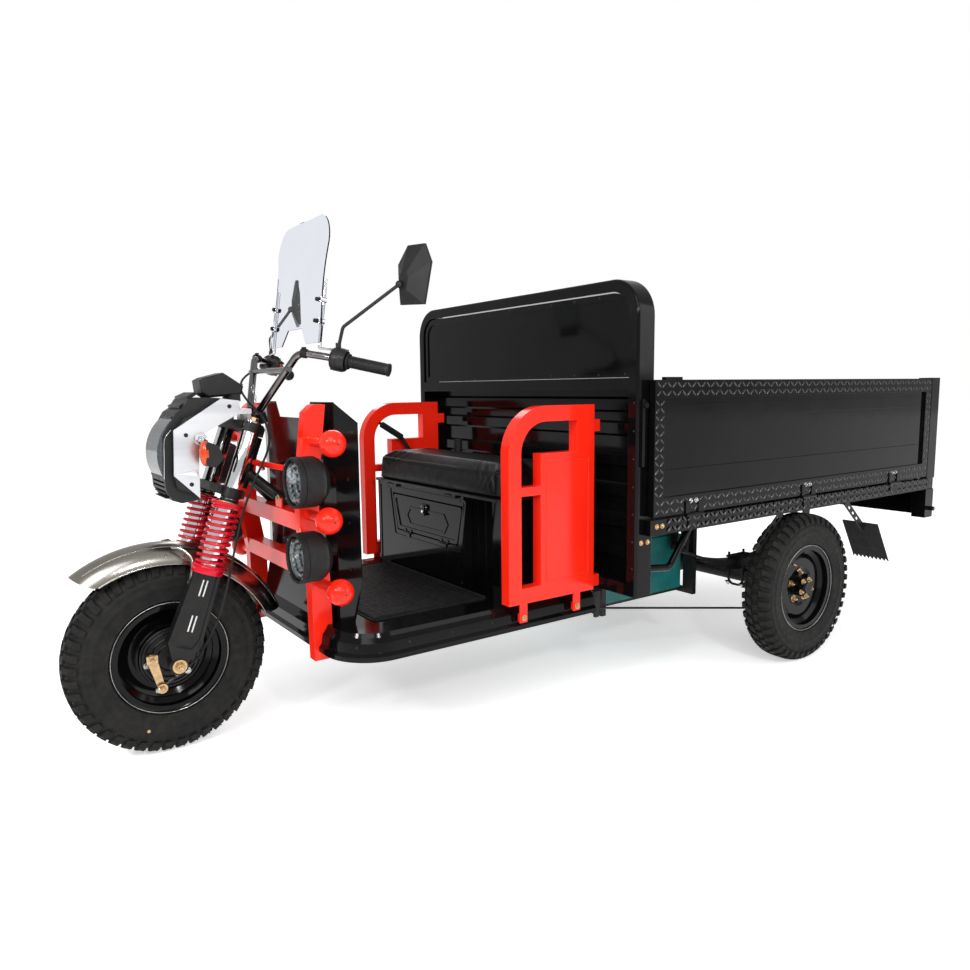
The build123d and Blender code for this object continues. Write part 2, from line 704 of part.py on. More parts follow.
wall_front = ahead(hoop_front)
door_hinge_x = ahead(seat_front) + door_hinge_radius + hinge_pin_gap
door_hinge_z = door_bottom_z - moving_gap
door_hinges = (door_middle_y - 130, door_middle_y + 130)
lid_hinge_radius = 6.0
lid_hinge_x = ahead(seat_front) + lid_hinge_radius + 1
lid_hinge_z = seat_top_z - lid_hinge_radius
lid_hinges = (-290.0, 130.0)
border = 3.0
step_y = seat_half_width - 60
with BuildPart() as seat_box:
    rear = wall_front + 2
    block((rear, ahead(seat_front)), (-seat_half_width, seat_split_y), (deck_top_z, seat_top_z))
    block((rear, ahead(seat_left_front)), (seat_split_y, seat_half_width), (deck_top_z, seat_top_z))
    for front, y_range in ((seat_front, (-seat_half_width, seat_split_y)),
                           (seat_left_front, (seat_split_y - seat_sheet, seat_half_width))):
        low_y, high_y = y_range[0] + seat_sheet, y_range[1] - seat_sheet
        block((rear + seat_sheet, ahead(front) - seat_sheet), (low_y, high_y),
              (deck_top_z + seat_sheet, seat_top_z - seat_sheet), mode=Mode.SUBTRACT)
        block((ahead(cushion_back) + seat_flange, ahead(front) - seat_flange),
              (low_y + seat_flange, high_y - seat_flange), (seat_top_z - 10, seat_top_z + 1), mode=Mode.SUBTRACT)
    cross_plate(trapezoid(30), ahead(seat_front), border, corner=14)
    cross_plate(trapezoid(22), ahead(seat_front), border + 1, corner=10, mode=Mode.SUBTRACT)
    cross_plate(trapezoid(moving_gap), ahead(seat_front) - 40, 60, mode=Mode.SUBTRACT)
    edge_y = -seat_half_width + 12
    block((ahead(seat_front), ahead(seat_front) + border), (edge_y, edge_y + 12), (deck_top_z + 15, seat_top_z - 15))
    for z in (deck_top_z + 60, deck_top_z + 150, deck_top_z + 240):
        side_plate([(ahead(seat_left_front) - 130, z), (ahead(seat_left_front) - 24, z),
                    (ahead(seat_left_front) - 24, z + 68), (ahead(seat_left_front) - 130, z + 68)],
                   1, seat_half_width, seat_half_width + border)
    for y in (seat_split_y + 34, step_y):
        block((ahead(seat_left_front), ahead(seat_left_front) + border), (y, y + 14),
              (deck_top_z + 15, seat_top_z - 15))
    for y in door_hinges:
        rod((door_hinge_x, y - 12, door_hinge_z), (door_hinge_x, y + 12, door_hinge_z), door_hinge_radius)
        block((ahead(seat_front) - 1, door_hinge_x), (y - 12, y + 12), (door_hinge_z - 18, door_hinge_z))
        rod((door_hinge_x, y - 30, door_hinge_z), (door_hinge_x, y + 30, door_hinge_z), 1.5)
    for y in lid_hinges:
        rod((lid_hinge_x, y - 20, lid_hinge_z), (lid_hinge_x, y + 20, lid_hinge_z), lid_hinge_radius)
        block((ahead(seat_front) - 1, lid_hinge_x), (y - 20, y + 20), (lid_hinge_z - lid_hinge_radius, lid_hinge_z))
        rod((lid_hinge_x, y - 45, lid_hinge_z), (lid_hinge_x, y + 45, lid_hinge_z), hinge_pin_radius)
finish(seat_box, "seat_box")

with BuildPart() as backrest_socket:
    socket = (ahead(cushion_back) - 48, -300)
    rod((*socket, seat_top_z), (*socket, 862), 17)
    rod((*socket, seat_top_z + 20), (*socket, 863), 12, mode=Mode.SUBTRACT)
    rod((*socket, seat_top_z), (*socket, seat_top_z + 5), 24)
    add(seat_box.part, mode=Mode.SUBTRACT)
finish(backrest_socket, "backrest_socket")

with BuildPart() as toolbox_door:
    back = ahead(seat_front) - door_thickness + 1
    cross_plate(trapezoid(0), back, door_thickness, corner=12)
    cross_plate(trapezoid(-14), back + door_thickness - 4, 5, corner=8, mode=Mode.SUBTRACT)
    cross_plate(hexagon(150, 36, 26), back + door_thickness - 5, 4)
    cross_plate(hexagon(138, 28, 22), back + door_thickness - 4, 5, mode=Mode.SUBTRACT)
    cross_plate(trapezoid(-5), back - 1, 5, corner=8, mode=Mode.SUBTRACT)
    latch_y = door_middle_y - 6
    block((ahead(seat_front) - 6, ahead(seat_front) + 5), (latch_y - 18, latch_y + 18), (door_top_z - 38, door_top_z - 14))
    block((ahead(seat_front), ahead(seat_front) + 9), (latch_y - 8, latch_y + 8), (door_top_z - 58, door_top_z - 18))
    for y in door_hinges:
        for low, high in ((-28, -12 - hinge_gap), (12 + hinge_gap, 28)):
            rod((door_hinge_x, y + low, door_hinge_z), (door_hinge_x, y + high, door_hinge_z), door_hinge_radius)
            block((back + 4, door_hinge_x), (y + low, y + high), (door_hinge_z, door_bottom_z + 8))
            rod((door_hinge_x, y + low - 1, door_hinge_z), (door_hinge_x, y + high + 1, door_hinge_z),
                1.5 + hinge_pin_gap, mode=Mode.SUBTRACT)
        rod((door_hinge_x, y - 12 - hinge_gap, door_hinge_z), (door_hinge_x, y + 12 + hinge_gap, door_hinge_z),
            door_hinge_radius + 1, mode=Mode.SUBTRACT)
finish(toolbox_door, "toolbox_door")

pan_bottom_z = seat_top_z + lid_gap
pan_x = (ahead(cushion_back) - 10, ahead(seat_front) + 12)
with BuildPart() as seat_pan:
    block(pan_x, (-seat_half_width - pan_overhang, seat_half_width + pan_overhang),
          (pan_bottom_z, pan_bottom_z + pan_thickness))
    fillet(seat_pan.edges().filter_by(Axis.Z), 14)
    for y in lid_hinges:
        for low, high in ((-42, -20 - hinge_gap), (20 + hinge_gap, 42)):
            rod((lid_hinge_x, y + low, lid_hinge_z), (lid_hinge_x, y + high, lid_hinge_z), lid_hinge_radius)
            block((lid_hinge_x, pan_x[1]), (y + low, y + high), (lid_hinge_z, pan_bottom_z + 1))
            rod((lid_hinge_x, y + low - 1, lid_hinge_z), (lid_hinge_x, y + high + 1, lid_hinge_z),
                hinge_pin_radius + hinge_pin_gap, mode=Mode.SUBTRACT)
finish(seat_pan, "seat_pan")

cushion_bottom_z = pan_bottom_z + pan_thickness
with BuildPart() as seat_cushion:
    with BuildSketch(Plane.XY.offset(cushion_bottom_z)):
        with Locations(((ahead(cushion_back) + ahead(seat_front) + 8) / 2, 0)):
            RectangleRounded(seat_front + 8 - cushion_back, 2 * seat_half_width + 4, 30)
    extrude(amount=cushion_height)
    fillet(seat_cushion.faces().sort_by(Axis.Z)[-1].edges(), cushion_edge)
finish(seat_cushion, "seat_cushion")

# ---------------------------------------------------------------- brakes and batteries
lever_y = -seat_half_width - 26
with BuildPart() as handbrake_lever:
    block((ahead(1040), ahead(1110)), (lever_y - 8, lever_y + 8), (deck_top_z, 770))
    bent_tube([(ahead(1075), lever_y, 750), (ahead(1085), lever_y, 812), (ahead(1130), lever_y, 880)], 8, 30)
    rod((ahead(1124), lever_y, 872), (ahead(1215), lever_y, 928), 13)
    rod((ahead(1213), lever_y, 927), (ahead(1226), lever_y, 935), 6)
finish(handbrake_lever, "handbrake_lever")

rear_arm_y = 564.0
rear_arm_x = 42.0
rear_arm_z = 176.0
with BuildPart() as brake_linkage:
    rod((ahead(linkage_x), -linkage_arm_y - 6, linkage_z), (ahead(linkage_x), linkage_arm_y + 6, linkage_z),
        linkage_radius)
    for side in (1, -1):
        arm_y = span(side, linkage_arm_y - 5, linkage_arm_y + 5)
        side_plate([(ahead(linkage_x) - 14, linkage_z + 18), (ahead(linkage_x) + 14, linkage_z + 18),
                    (ahead(linkage_x) + 9, linkage_z - 76), (ahead(linkage_x) - 9, linkage_z - 76)], 1, *arm_y)
        rod((ahead(linkage_x) + 80, side * linkage_arm_y, linkage_z - 31),
            (ahead(linkage_x) - 2, side * linkage_arm_y, linkage_z - 44), 4)
        rod((ahead(linkage_x) - 2, side * linkage_arm_y, linkage_z - 44),
            (ahead(rear_arm_x), side * (rear_arm_y - 10), rear_arm_z), 4)
        rod((ahead(rear_arm_x), side * (rear_arm_y - 15), rear_arm_z), (ahead(rear_arm_x), side * rear_arm_y, rear_arm_z), 7)
    add(floor_deck.part, mode=Mode.SUBTRACT)
finish(brake_linkage, "brake_linkage")

battery_gap = 8.0
with BuildPart() as battery_pack:
    rows, files = 2, 3
    block_x = (battery_front - battery_rear - 2 * battery_gap) / rows
    block_y = (2 * battery_half_width - 3 * battery_gap) / files
    for row in range(rows):
        for file in range(files):
            x = ahead(battery_rear + battery_gap / 2 + row * (block_x + battery_gap))
            y = -battery_half_width + battery_gap / 2 + file * (block_y + battery_gap)
            block((x, x + block_x), (y, y + block_y), (battery_bottom_z, battery_top_z - 22))
            block((x + 6, x + block_x - 6), (y + 6, y + block_y - 6), (battery_top_z - 22, battery_top_z))
finish(battery_pack, "battery_pack")

# ---------------------------------------------------------------- load floor
hinge_y = box_half_width + hinge_stand_off
hinge_z = floor_top_z + 4
board_bottom_z = floor_top_z + board_gap
gate_hinge_x = -rear_overhang + hinge_radius
gate_face = gate_hinge_x + hinge_stand_off
board_hinges = (-660.0, -13.0, 654.0)
gate_hinges = (-430.0, 0.0, 430.0)
knuckle_reach = hinge_knuckle / 2 + hinge_gap


def side_knuckle(side, x, low, high, radius, mode=Mode.ADD):
    """A round stretch on a side board's hinge axis."""
    rod((ahead(x) + low, side * hinge_y, hinge_z), (ahead(x) + high, side * hinge_y, hinge_z), radius, mode=mode)


def gate_knuckle(y, low, high, radius, mode=Mode.ADD):
    """A round stretch on the tailgate's hinge axis."""
    rod((ahead(gate_hinge_x), y + low, hinge_z), (ahead(gate_hinge_x), y + high, hinge_z), radius, mode=mode)


floor_inner_y = floor_rail_y - 22
floor_rear = ahead(gate_face)
sheet_z = (floor_top_z - floor_sheet - 1, floor_top_z - 1)
with BuildPart() as load_floor:
    for side in (1, -1):
        block((floor_rear, ahead(board_front + 8)), span(side, floor_inner_y, floor_rail_y), (floor_bottom_z, floor_top_z))
        for x in board_hinges:
            side_knuckle(side, x, -hinge_knuckle / 2, hinge_knuckle / 2, hinge_radius)
            side_knuckle(side, x, -hinge_knuckle / 2 - 22, hinge_knuckle / 2 + 22, hinge_pin_radius)
            leaf_x = (ahead(x) - hinge_knuckle / 2, ahead(x) + hinge_knuckle / 2)
            block(leaf_x, span(side, floor_rail_y, floor_rail_y + 5), (hinge_z - hinge_leaf + 4, hinge_z))
    block((floor_rear + 30, ahead(hoop_front - hoop_depth - 2)), (-floor_inner_y, floor_inner_y), sheet_z)
    for side in (1, -1):
        corner_y = span(side, box_half_width - corner_post - 3, floor_inner_y)
        block((floor_rear, ahead(board_rear) + 3), corner_y, (sheet_z[0] - 1, floor_top_z + 1), mode=Mode.SUBTRACT)
    for x in (-1000, -640, -240, 160, 500, 770):
        block((ahead(x), ahead(x + 40)), (-floor_inner_y, floor_inner_y), (rail_top_z, sheet_z[0]))
    block((floor_rear, floor_rear + 30), (-box_half_width + corner_post, box_half_width - corner_post),
          (floor_bottom_z, floor_top_z - 3))
    for y in gate_hinges:
        gate_knuckle(y, -hinge_knuckle / 2, hinge_knuckle / 2, hinge_radius)
        gate_knuckle(y, -hinge_knuckle / 2 - 22, hinge_knuckle / 2 + 22, hinge_pin_radius)
        block((floor_rear - 5, floor_rear), (y - hinge_knuckle / 2, y + hinge_knuckle / 2),
              (hinge_z - hinge_leaf + 4, hinge_z))
finish(load_floor, "load_floor")

# ---------------------------------------------------------------- hoop, headboard and front wall
hoop_x = (ahead(hoop_front - hoop_depth), ahead(hoop_front))
tread_bar_z = (1060.0, 1100.0)
stay_radius = 12.0
with BuildPart() as headboard_frame:
    with BuildSketch(Plane(origin=(hoop_x[0], 0, 0), x_dir=(0, 1, 0), z_dir=(1, 0, 0))):
        height = hoop_top_z - post_bottom_z
        with Locations((0, (hoop_top_z + post_bottom_z) / 2)):
            Rectangle(2 * hoop_half_width, height)
        fillet(vertices().group_by(Axis.Y)[-1], hoop_corner)
    extrude(amount=hoop_depth)
    outer = headboard_frame.edges().filter_by(lambda edge: edge.center().X > hoop_x[1] - 1 or edge.center().X < hoop_x[0] + 1)
    fillet(outer.filter_by(lambda edge: edge.center().Z > post_bottom_z + 1), hoop_edge)
    with BuildSketch(Plane(origin=(hoop_x[0] - 1, 0, 0), x_dir=(0, 1, 0), z_dir=(1, 0, 0))):
        with Locations((0, (hoop_top_z - hoop_tube + post_bottom_z - 10) / 2)):
            Rectangle(2 * (hoop_half_width - hoop_tube), hoop_top_z - hoop_tube - post_bottom_z + 10)
        fillet(vertices().group_by(Axis.Y)[-1], hoop_corner - hoop_tube)
    extrude(amount=hoop_depth + 2, mode=Mode.SUBTRACT)
    inner_half = hoop_half_width - hoop_tube + 1
    block(hoop_x, (-inner_half, inner_half), tread_bar_z)
    block(hoop_x, (-inner_half, inner_half), (post_bottom_z, post_bottom_z + 40))
    for side in (1, -1):
        for z in (headboard_bottom_z + 60, hoop_top_z - 150):
            lug_y = span(side, inner_half - headboard_gap - 10, inner_half)
            block((hoop_x[1] - 24, hoop_x[1] - 8), lug_y, (z, z + 30))
        stay = [(hoop_x[0] + 6, side * 650, 470), (ahead(709), side * 650, 458), (ahead(609), side * 650, floor_bottom_z)]
        bent_tube(stay, stay_radius, 30)
        handle_x = (hoop_x[1] - 34, hoop_x[1] - 14)
        block(handle_x, span(side, hoop_half_width - 2, hoop_half_width + 9), (815, 1030))
        rod((handle_x[0] + 10, side * hoop_half_width, 1012), (handle_x[0] + 10, side * (hoop_half_width + 18), 1012), 9)
    add(chassis_frame.part, mode=Mode.SUBTRACT)
    add(load_floor.part, mode=Mode.SUBTRACT)
finish(headboard_frame, "headboard_frame")


def headboard_outline(margin):
    """The headboard's outline, this far inside its edge."""
    half = hoop_half_width - hoop_tube - headboard_gap - margin
    top = hoop_top_z - hoop_tube - headboard_gap - margin
    bottom = headboard_bottom_z + margin
    with BuildSketch(mode=Mode.PRIVATE) as face:
        with Locations((0, (top + bottom) / 2)):
            Rectangle(2 * half, top - bottom)
        fillet(vertices().group_by(Axis.Y)[-1], hoop_corner - hoop_tube - headboard_gap - margin)
    return face.sketch


with BuildPart() as headboard_panel:
    panel_front = hoop_x[1] - 6
    with BuildSketch(Plane(origin=(panel_front, 0, 0), x_dir=(0, 1, 0), z_dir=(1, 0, 0))):
        add(headboard_outline(0))
    extrude(amount=-headboard_thickness)
    with BuildSketch(Plane(origin=(panel_front - headboard_recess, 0, 0), x_dir=(0, 1, 0), z_dir=(1, 0, 0))):
        add(headboard_outline(headboard_rim))
    extrude(amount=headboard_recess + 1, mode=Mode.SUBTRACT)
    add(headboard_frame.part, mode=Mode.SUBTRACT)
finish(headboard_panel, "headboard_panel")

wall_rib = 12.0
with BuildPart() as front_wall:
    wall_y = hoop_half_width - hoop_tube
    block((hoop_x[0] + 4, hoop_x[0] + 8), (-wall_y, wall_y), (post_bottom_z + 40, tread_bar_z[0]))
    for y in (-450, -225, 0, 225, 450):
        rib = [(y - 86, 726), (y + 86, 726), (y + 86, 1034), (y - 86, 1034)]
        crown = [(y - 74, 738), (y + 74, 738), (y + 74, 1022), (y - 74, 1022)]
        cross_plate(rib, hoop_x[0] + 8, wall_rib / 2, corner=12)
        cross_plate(crown, hoop_x[0] + 8, wall_rib, corner=8)
    add(chassis_frame.part, mode=Mode.SUBTRACT)
finish(front_wall, "front_wall")

# ---------------------------------------------------------------- side boards, tailgate and rear frame
board_inner = box_half_width - board_thickness
swage_levels = (755.0, 968.0)
for side, name in ((1, "left"), (-1, "right")):
    with BuildPart() as side_board:
        board_x = (ahead(board_rear), ahead(board_front))
        block(board_x, span(side, board_inner, box_half_width), (board_bottom_z, board_top_z))
        window_x = (board_x[0] + board_stile, board_x[1] - board_stile)
        window_z = (board_bottom_z + board_bottom_rail, board_top_z - board_top_rail)
        block(window_x, span(side, board_inner - 1, box_half_width + 1), window_z, mode=Mode.SUBTRACT)
        sheet_far = box_half_width - panel_setback
        block(window_x, span(side, sheet_far - panel_sheet, sheet_far), window_z)
        for z in swage_levels:
            swage = [(window_x[0] + 40, z), (window_x[1], z), (window_x[1], z + swage_height),
                     (window_x[0] + 40, z + swage_height)]
            side_plate(swage, side, sheet_far - 1, sheet_far + swage_rise)
        for x in (window_x[0] + 420, window_x[0] + 1100):
            block((x, x + 40), span(side, board_inner, sheet_far - panel_sheet), window_z)
        block((board_x[1] - 132, board_x[1] - 52), span(side, board_inner + 4, box_half_width - 4),
              (board_top_z, board_top_z + 9))
        for x in board_hinges:
            for low, high in ((-knuckle_reach - 21, -knuckle_reach), (knuckle_reach, knuckle_reach + 21)):
                leaf_x = (ahead(x) + low, ahead(x) + high)
                block(leaf_x, span(side, box_half_width, hinge_y), (hinge_z, hinge_z + hinge_leaf))
                side_knuckle(side, x, low, high, hinge_radius)
                side_knuckle(side, x, low - 1, high + 1, hinge_pin_radius + hinge_pin_gap, mode=Mode.SUBTRACT)
            side_knuckle(side, x, -knuckle_reach, knuckle_reach, hinge_radius + hinge_gap, mode=Mode.SUBTRACT)
    finish(side_board, f"side_board_{name}")

post_x = (ahead(gate_face), ahead(board_rear) - 6)
gate_x = (ahead(gate_face), ahead(gate_face) + board_thickness)
gate_half = box_half_width - corner_post - 6
with BuildPart() as tailgate:
    block(gate_x, (-gate_half, gate_half), (board_bottom_z, board_top_z))
    gate_z = (board_bottom_z + board_bottom_rail, board_top_z - board_top_rail)
    gate_window = (-gate_half + board_stile, gate_half - board_stile)
    block((gate_x[0] - 1, gate_x[1] + 1), gate_window, gate_z, mode=Mode.SUBTRACT)
    sheet_x = gate_x[0] + panel_setback
    block((sheet_x, sheet_x + panel_sheet), gate_window, gate_z)
    for z in swage_levels:
        block((sheet_x - swage_rise, sheet_x + 1), gate_window, (z, z + swage_height))
    for y in (-gate_half / 3 - 20, gate_half / 3 - 20):
        block((sheet_x + panel_sheet, gate_x[1]), (y, y + 40), gate_z)
    for y in gate_hinges:
        for low, high in ((-knuckle_reach - 21, -knuckle_reach), (knuckle_reach, knuckle_reach + 21)):
            block((ahead(gate_hinge_x), gate_x[0]), (y + low, y + high), (hinge_z, hinge_z + hinge_leaf))
            gate_knuckle(y, low, high, hinge_radius)
            gate_knuckle(y, low - 1, high + 1, hinge_pin_radius + hinge_pin_gap, mode=Mode.SUBTRACT)
        gate_knuckle(y, -knuckle_reach, knuckle_reach, hinge_radius + hinge_gap, mode=Mode.SUBTRACT)
finish(tailgate, "tailgate")

beam_z = (470.0, floor_bottom_z)
post_foot_z = 458.0
lamp_pocket_y = (470.0, 610.0)
lamp_pocket_z = (492.0, 562.0)
pocket_depth = 14.0
with BuildPart() as rear_frame:
    for side in (1, -1):
        post_y = span(side, box_half_width - corner_post, box_half_width)
        block(post_x, post_y, (post_foot_z, floor_bottom_z))
        block(post_x, post_y, (floor_top_z, board_top_z + 4))
        rod((post_x[0] + 34, side * (box_half_width - 2), 500), (post_x[0] + 34, side * (box_half_width + 22), 500), 10)
        latch_y = span(side, box_half_width - corner_post + 10, box_half_width - corner_post + 34)
        block((post_x[0] - 6, post_x[0]), latch_y, (board_top_z - 170, board_top_z - 60))
    block((post_x[0], post_x[0] + 50), (-box_half_width + corner_post, box_half_width - corner_post), beam_z)
    for side in (1, -1):
        block((post_x[0] - 1, post_x[0] + pocket_depth), span(side, *lamp_pocket_y), lamp_pocket_z, mode=Mode.SUBTRACT)
    plate = [(-110, beam_z[0] + 12), (110, beam_z[0] + 12), (110, beam_z[1] - 12), (-110, beam_z[1] - 12)]
    cross_plate(plate, post_x[0] - 4, 4, corner=8)
    add(load_floor.part, mode=Mode.SUBTRACT)
finish(rear_frame, "rear_frame")

with BuildPart() as rear_lamps:
    for side in (1, -1):
        block((post_x[0] - 5, post_x[0] + pocket_depth), span(side, *lamp_pocket_y), lamp_pocket_z)
    fillet(rear_lamps.edges().filter_by(Axis.X), 8)
    add(rear_frame.part, mode=Mode.SUBTRACT)
finish(rear_lamps, "rear_lamps")

# ---------------------------------------------------------------- rear axle, motor and springs
backing_y = (585.0, 600.0)
backing_radius = 103.0
casing_radius = 92.0
motor_radius = 84.0
motor_y = (-210.0, 40.0)
motor_lead = 172.0
with BuildPart() as rear_axle:
    with BuildSketch(Plane(origin=(rear_axle_x, 0, axle_z), x_dir=(1, 0, 0), z_dir=(0, 0, 1))):
        with BuildLine():
            Polyline((0, -backing_y[0]), (axle_tube_radius, -backing_y[0]), (axle_tube_radius, -140),
                     (axle_tube_radius + 26, -70), (casing_radius, -44), (casing_radius, 44),
                     (axle_tube_radius + 26, 70), (axle_tube_radius, 140), (axle_tube_radius, backing_y[0]),
                     (0, backing_y[0]), close=True)
        make_face()
    revolve(axis=Axis((rear_axle_x, 0, axle_z), (0, 1, 0)))
    for side in (1, -1):
        tip_y = rear_wheel_y + wheel_hub_outer + 12
        rod((rear_axle_x, side * (backing_y[0] - 1), axle_z), (rear_axle_x, side * tip_y, axle_z), spindle_radius)
        rod((rear_axle_x, side * backing_y[0], axle_z), (rear_axle_x, side * (backing_y[1] - 6), axle_z), backing_radius)
        rod((rear_axle_x, side * (backing_y[1] - 7), axle_z), (rear_axle_x, side * backing_y[1], axle_z), backing_radius - 16)
        rod((rear_axle_x, side * (rear_wheel_y + wheel_hub_outer + 2), axle_z), (rear_axle_x, side * tip_y, axle_z),
            spindle_radius + 6)
        seat_y = span(side, rail_y - spring_leaf_width / 2 - 4, rail_y + spring_leaf_width / 2 + 4)
        block((rear_axle_x - 44, rear_axle_x + 44), seat_y, (axle_z + 8, axle_z + axle_tube_radius))
        arm_y = span(side, rear_arm_y, rear_arm_y + 7)
        side_plate([(ahead(rear_arm_x) - 8, rear_arm_z - 9), (ahead(rear_arm_x) + 8, rear_arm_z - 9),
                    (ahead(rear_arm_x) + 2, rear_arm_z + 66), (ahead(rear_arm_x) - 18, rear_arm_z + 66)], 1, *arm_y)
        rod((ahead(rear_arm_x) - 8, side * rear_arm_y, rear_arm_z + 54),
            (ahead(rear_arm_x) - 8, side * (backing_y[0] + 1), rear_arm_z + 54), 9)
finish(rear_axle, "rear_axle")

with BuildPart() as drive_motor:
    motor_x, motor_z = rear_axle_x + motor_lead, axle_z + 10
    rod((motor_x, motor_y[0], motor_z), (motor_x, motor_y[1], motor_z), motor_radius)
    for fin in range(9):
        y = motor_y[0] + 24 + fin * 22
        rod((motor_x, y, motor_z), (motor_x, y + 6, motor_z), motor_radius + 7)
    add(rear_axle.part, mode=Mode.SUBTRACT)
finish(drive_motor, "drive_motor")

with BuildPart() as leaf_springs:
    for side in (1, -1):
        near_y = rail_y - spring_leaf_width / 2
        for leaf in range(spring_leaf_count):
            reach = spring_half_length - 62 * leaf
            base = spring_top - leaf * spring_leaf_thickness
            with BuildSketch(Plane(origin=(0, side * near_y, 0), x_dir=(1, 0, 0), z_dir=(0, -1, 0))):
                with BuildLine():
                    rise = spring_rise * (reach / spring_half_length) ** 2
                    if leaf == 0:
                        rise = rise - spring_eye_radius + spring_leaf_thickness
                    crest = [(rear_axle_x - reach, base + rise), (rear_axle_x, base), (rear_axle_x + reach, base + rise)]
                    ThreePointArc(*crest)
                    below = [(x, z - spring_leaf_thickness) for x, z in crest]
                    ThreePointArc(*below)
                    Line(crest[0], below[0])
                    Line(crest[2], below[2])
                make_face()
                if leaf == 0:
                    with Locations((rear_axle_x - reach, spring_eye_z), (rear_axle_x + reach, spring_eye_z)):
                        Circle(spring_eye_radius)
                    with Locations((rear_axle_x - reach, spring_eye_z), (rear_axle_x + reach, spring_eye_z)):
                        Circle(spring_pin_radius, mode=Mode.SUBTRACT)
            extrude(amount=-side * spring_leaf_width)
        clamp_y = span(side, near_y - 16, near_y + spring_leaf_width + 16)
        block((rear_axle_x - 58, rear_axle_x + 58), clamp_y, (spring_top, spring_top + 9))
        for x in (rear_axle_x - 48, rear_axle_x + 48):
            legs = [(x, clamp_y[0] + 7, spring_top + 22), (x, clamp_y[0] + 7, axle_z - axle_tube_radius - 6),
                    (x, clamp_y[1] - 7, axle_z - axle_tube_radius - 6), (x, clamp_y[1] - 7, spring_top + 22)]
            bent_tube(legs, 5, 24)
    add(chassis_frame.part, mode=Mode.SUBTRACT)
    add(rear_axle.part, mode=Mode.SUBTRACT)
finish(leaf_springs, "leaf_springs")

# ---------------------------------------------------------------- mudflaps and their slotted straps
strap_y = (681.0, 685.0)
flap_y = (588.0, 742.0)
flap_wall = 5.0
strap_half_width = 14.0
straps = (((120, 592), (274, 466)), ((-322, 588), (-470, 462)))


def strap_outline(start, end, half):
    """A strap's outline between two points in X and Z, this wide to each side."""
    run = Vector(end[0] - start[0], 0, end[1] - start[1]).normalized()
    across = (-run.Z * half, run.X * half)
    return [
        (ahead(start[0]) + across[0], start[1] + across[1]),
        (ahead(end[0]) + across[0], end[1] + across[1]),
        (ahead(end[0]) - across[0], end[1] - across[1]),
        (ahead(start[0]) - across[0], start[1] - across[1]),
    ]


with BuildPart() as mudflap_straps:
    for side in (1, -1):
        for start, end in straps:
            side_plate(strap_outline(start, end, strap_half_width), side, *strap_y)
            for share in (0.2, 0.4, 0.6, 0.8):
                middle = [low + (high - low) * share for low, high in zip(start, end)]
                step = [(high - low) * 0.055 for low, high in zip(start, end)]
                slot = strap_outline((middle[0] - step[0], middle[1] - step[1]),
                                     (middle[0] + step[0], middle[1] + step[1]), strap_half_width / 2 - 1)
                side_plate(slot, side, strap_y[0] - 1, strap_y[1] + 1, mode=Mode.SUBTRACT)
    block((ahead(-1500), ahead(1500)), (-box_half_width, box_half_width), (floor_bottom_z, floor_top_z), mode=Mode.SUBTRACT)
finish(mudflap_straps, "mudflap_straps")

with BuildPart() as mudflaps:
    for side in (1, -1):
        low_y, high_y = span(side, *flap_y)
        teeth = 9
        pitch = (high_y - low_y) / teeth
        zigzag = []
        for tooth in range(teeth):
            zigzag.append((low_y + tooth * pitch, 312))
            zigzag.append((low_y + (tooth + 0.5) * pitch, 326))
        outline = [(high_y, 312), (high_y, 486), (low_y, 486), *zigzag]
        with BuildSketch(Plane(origin=(ahead(-474), 0, 478), x_dir=(0, 1, 0), z_dir=(1, 0, -0.62))):
            with BuildLine():
                Polyline(*[(y, (z - 478) * 1.17) for y, z in outline], close=True)
            make_face()
        extrude(amount=-flap_wall)
    add(mudflap_straps.part, mode=Mode.SUBTRACT)
finish(mudflaps, "mudflaps")

# ---------------------------------------------------------------- steering: yokes, fork, axle
upper_yoke_z = head_top_z + 4
lower_yoke_z = head_bottom_z - 6 - yoke_thickness
riser_y = 45.0
riser_foot = (ahead(1893), 1012.0)
with BuildPart() as steering_yokes:
    rod((steer_x(lower_yoke_z), 0, lower_yoke_z), (steer_x(head_top_z + 50), 0, head_top_z + 50), stem_radius)
    for low_z in (upper_yoke_z, lower_yoke_z):
        with BuildSketch(along_fork(low_z)):
            with Locations((yoke_offset, fork_y), (yoke_offset, -fork_y)):
                Circle(fork_tube_radius + yoke_clamp_wall)
            Circle(head_tube_radius)
            make_hull()
            with Locations((yoke_offset, fork_y), (yoke_offset, -fork_y)):
                Circle(fork_tube_radius, mode=Mode.SUBTRACT)
            with Locations((yoke_offset - 10, 62), (yoke_offset - 10, -62)):
                Circle(13, mode=Mode.SUBTRACT)
        extrude(amount=yoke_thickness)
    for side in (1, -1):
        foot = (riser_foot[0] - 10, side * (riser_y - 4), riser_foot[1] - 38)
        rod(foot, (riser_foot[0], side * riser_y, riser_foot[1] - 8), 17)
    rod((steer_x(head_top_z + 44), 0, head_top_z + 44), (steer_x(head_top_z + 56), 0, head_top_z + 56), 20)
finish(steering_yokes, "steering_yokes")

with BuildPart() as fork_tubes:
    for side in (1, -1):
        low = (fork_x(spring_bottom_z), side * fork_y, spring_bottom_z)
        high = (fork_x(fork_top_z), side * fork_y, fork_top_z)
        rod(low, high, fork_tube_radius)
        cap = along_fork(fork_top_z, side)
        rod(cap.origin, cap.origin + cap.z_dir * 5, fork_tube_radius + 3)
    add(steering_yokes.part, mode=Mode.SUBTRACT)
finish(fork_tubes, "fork_tubes")

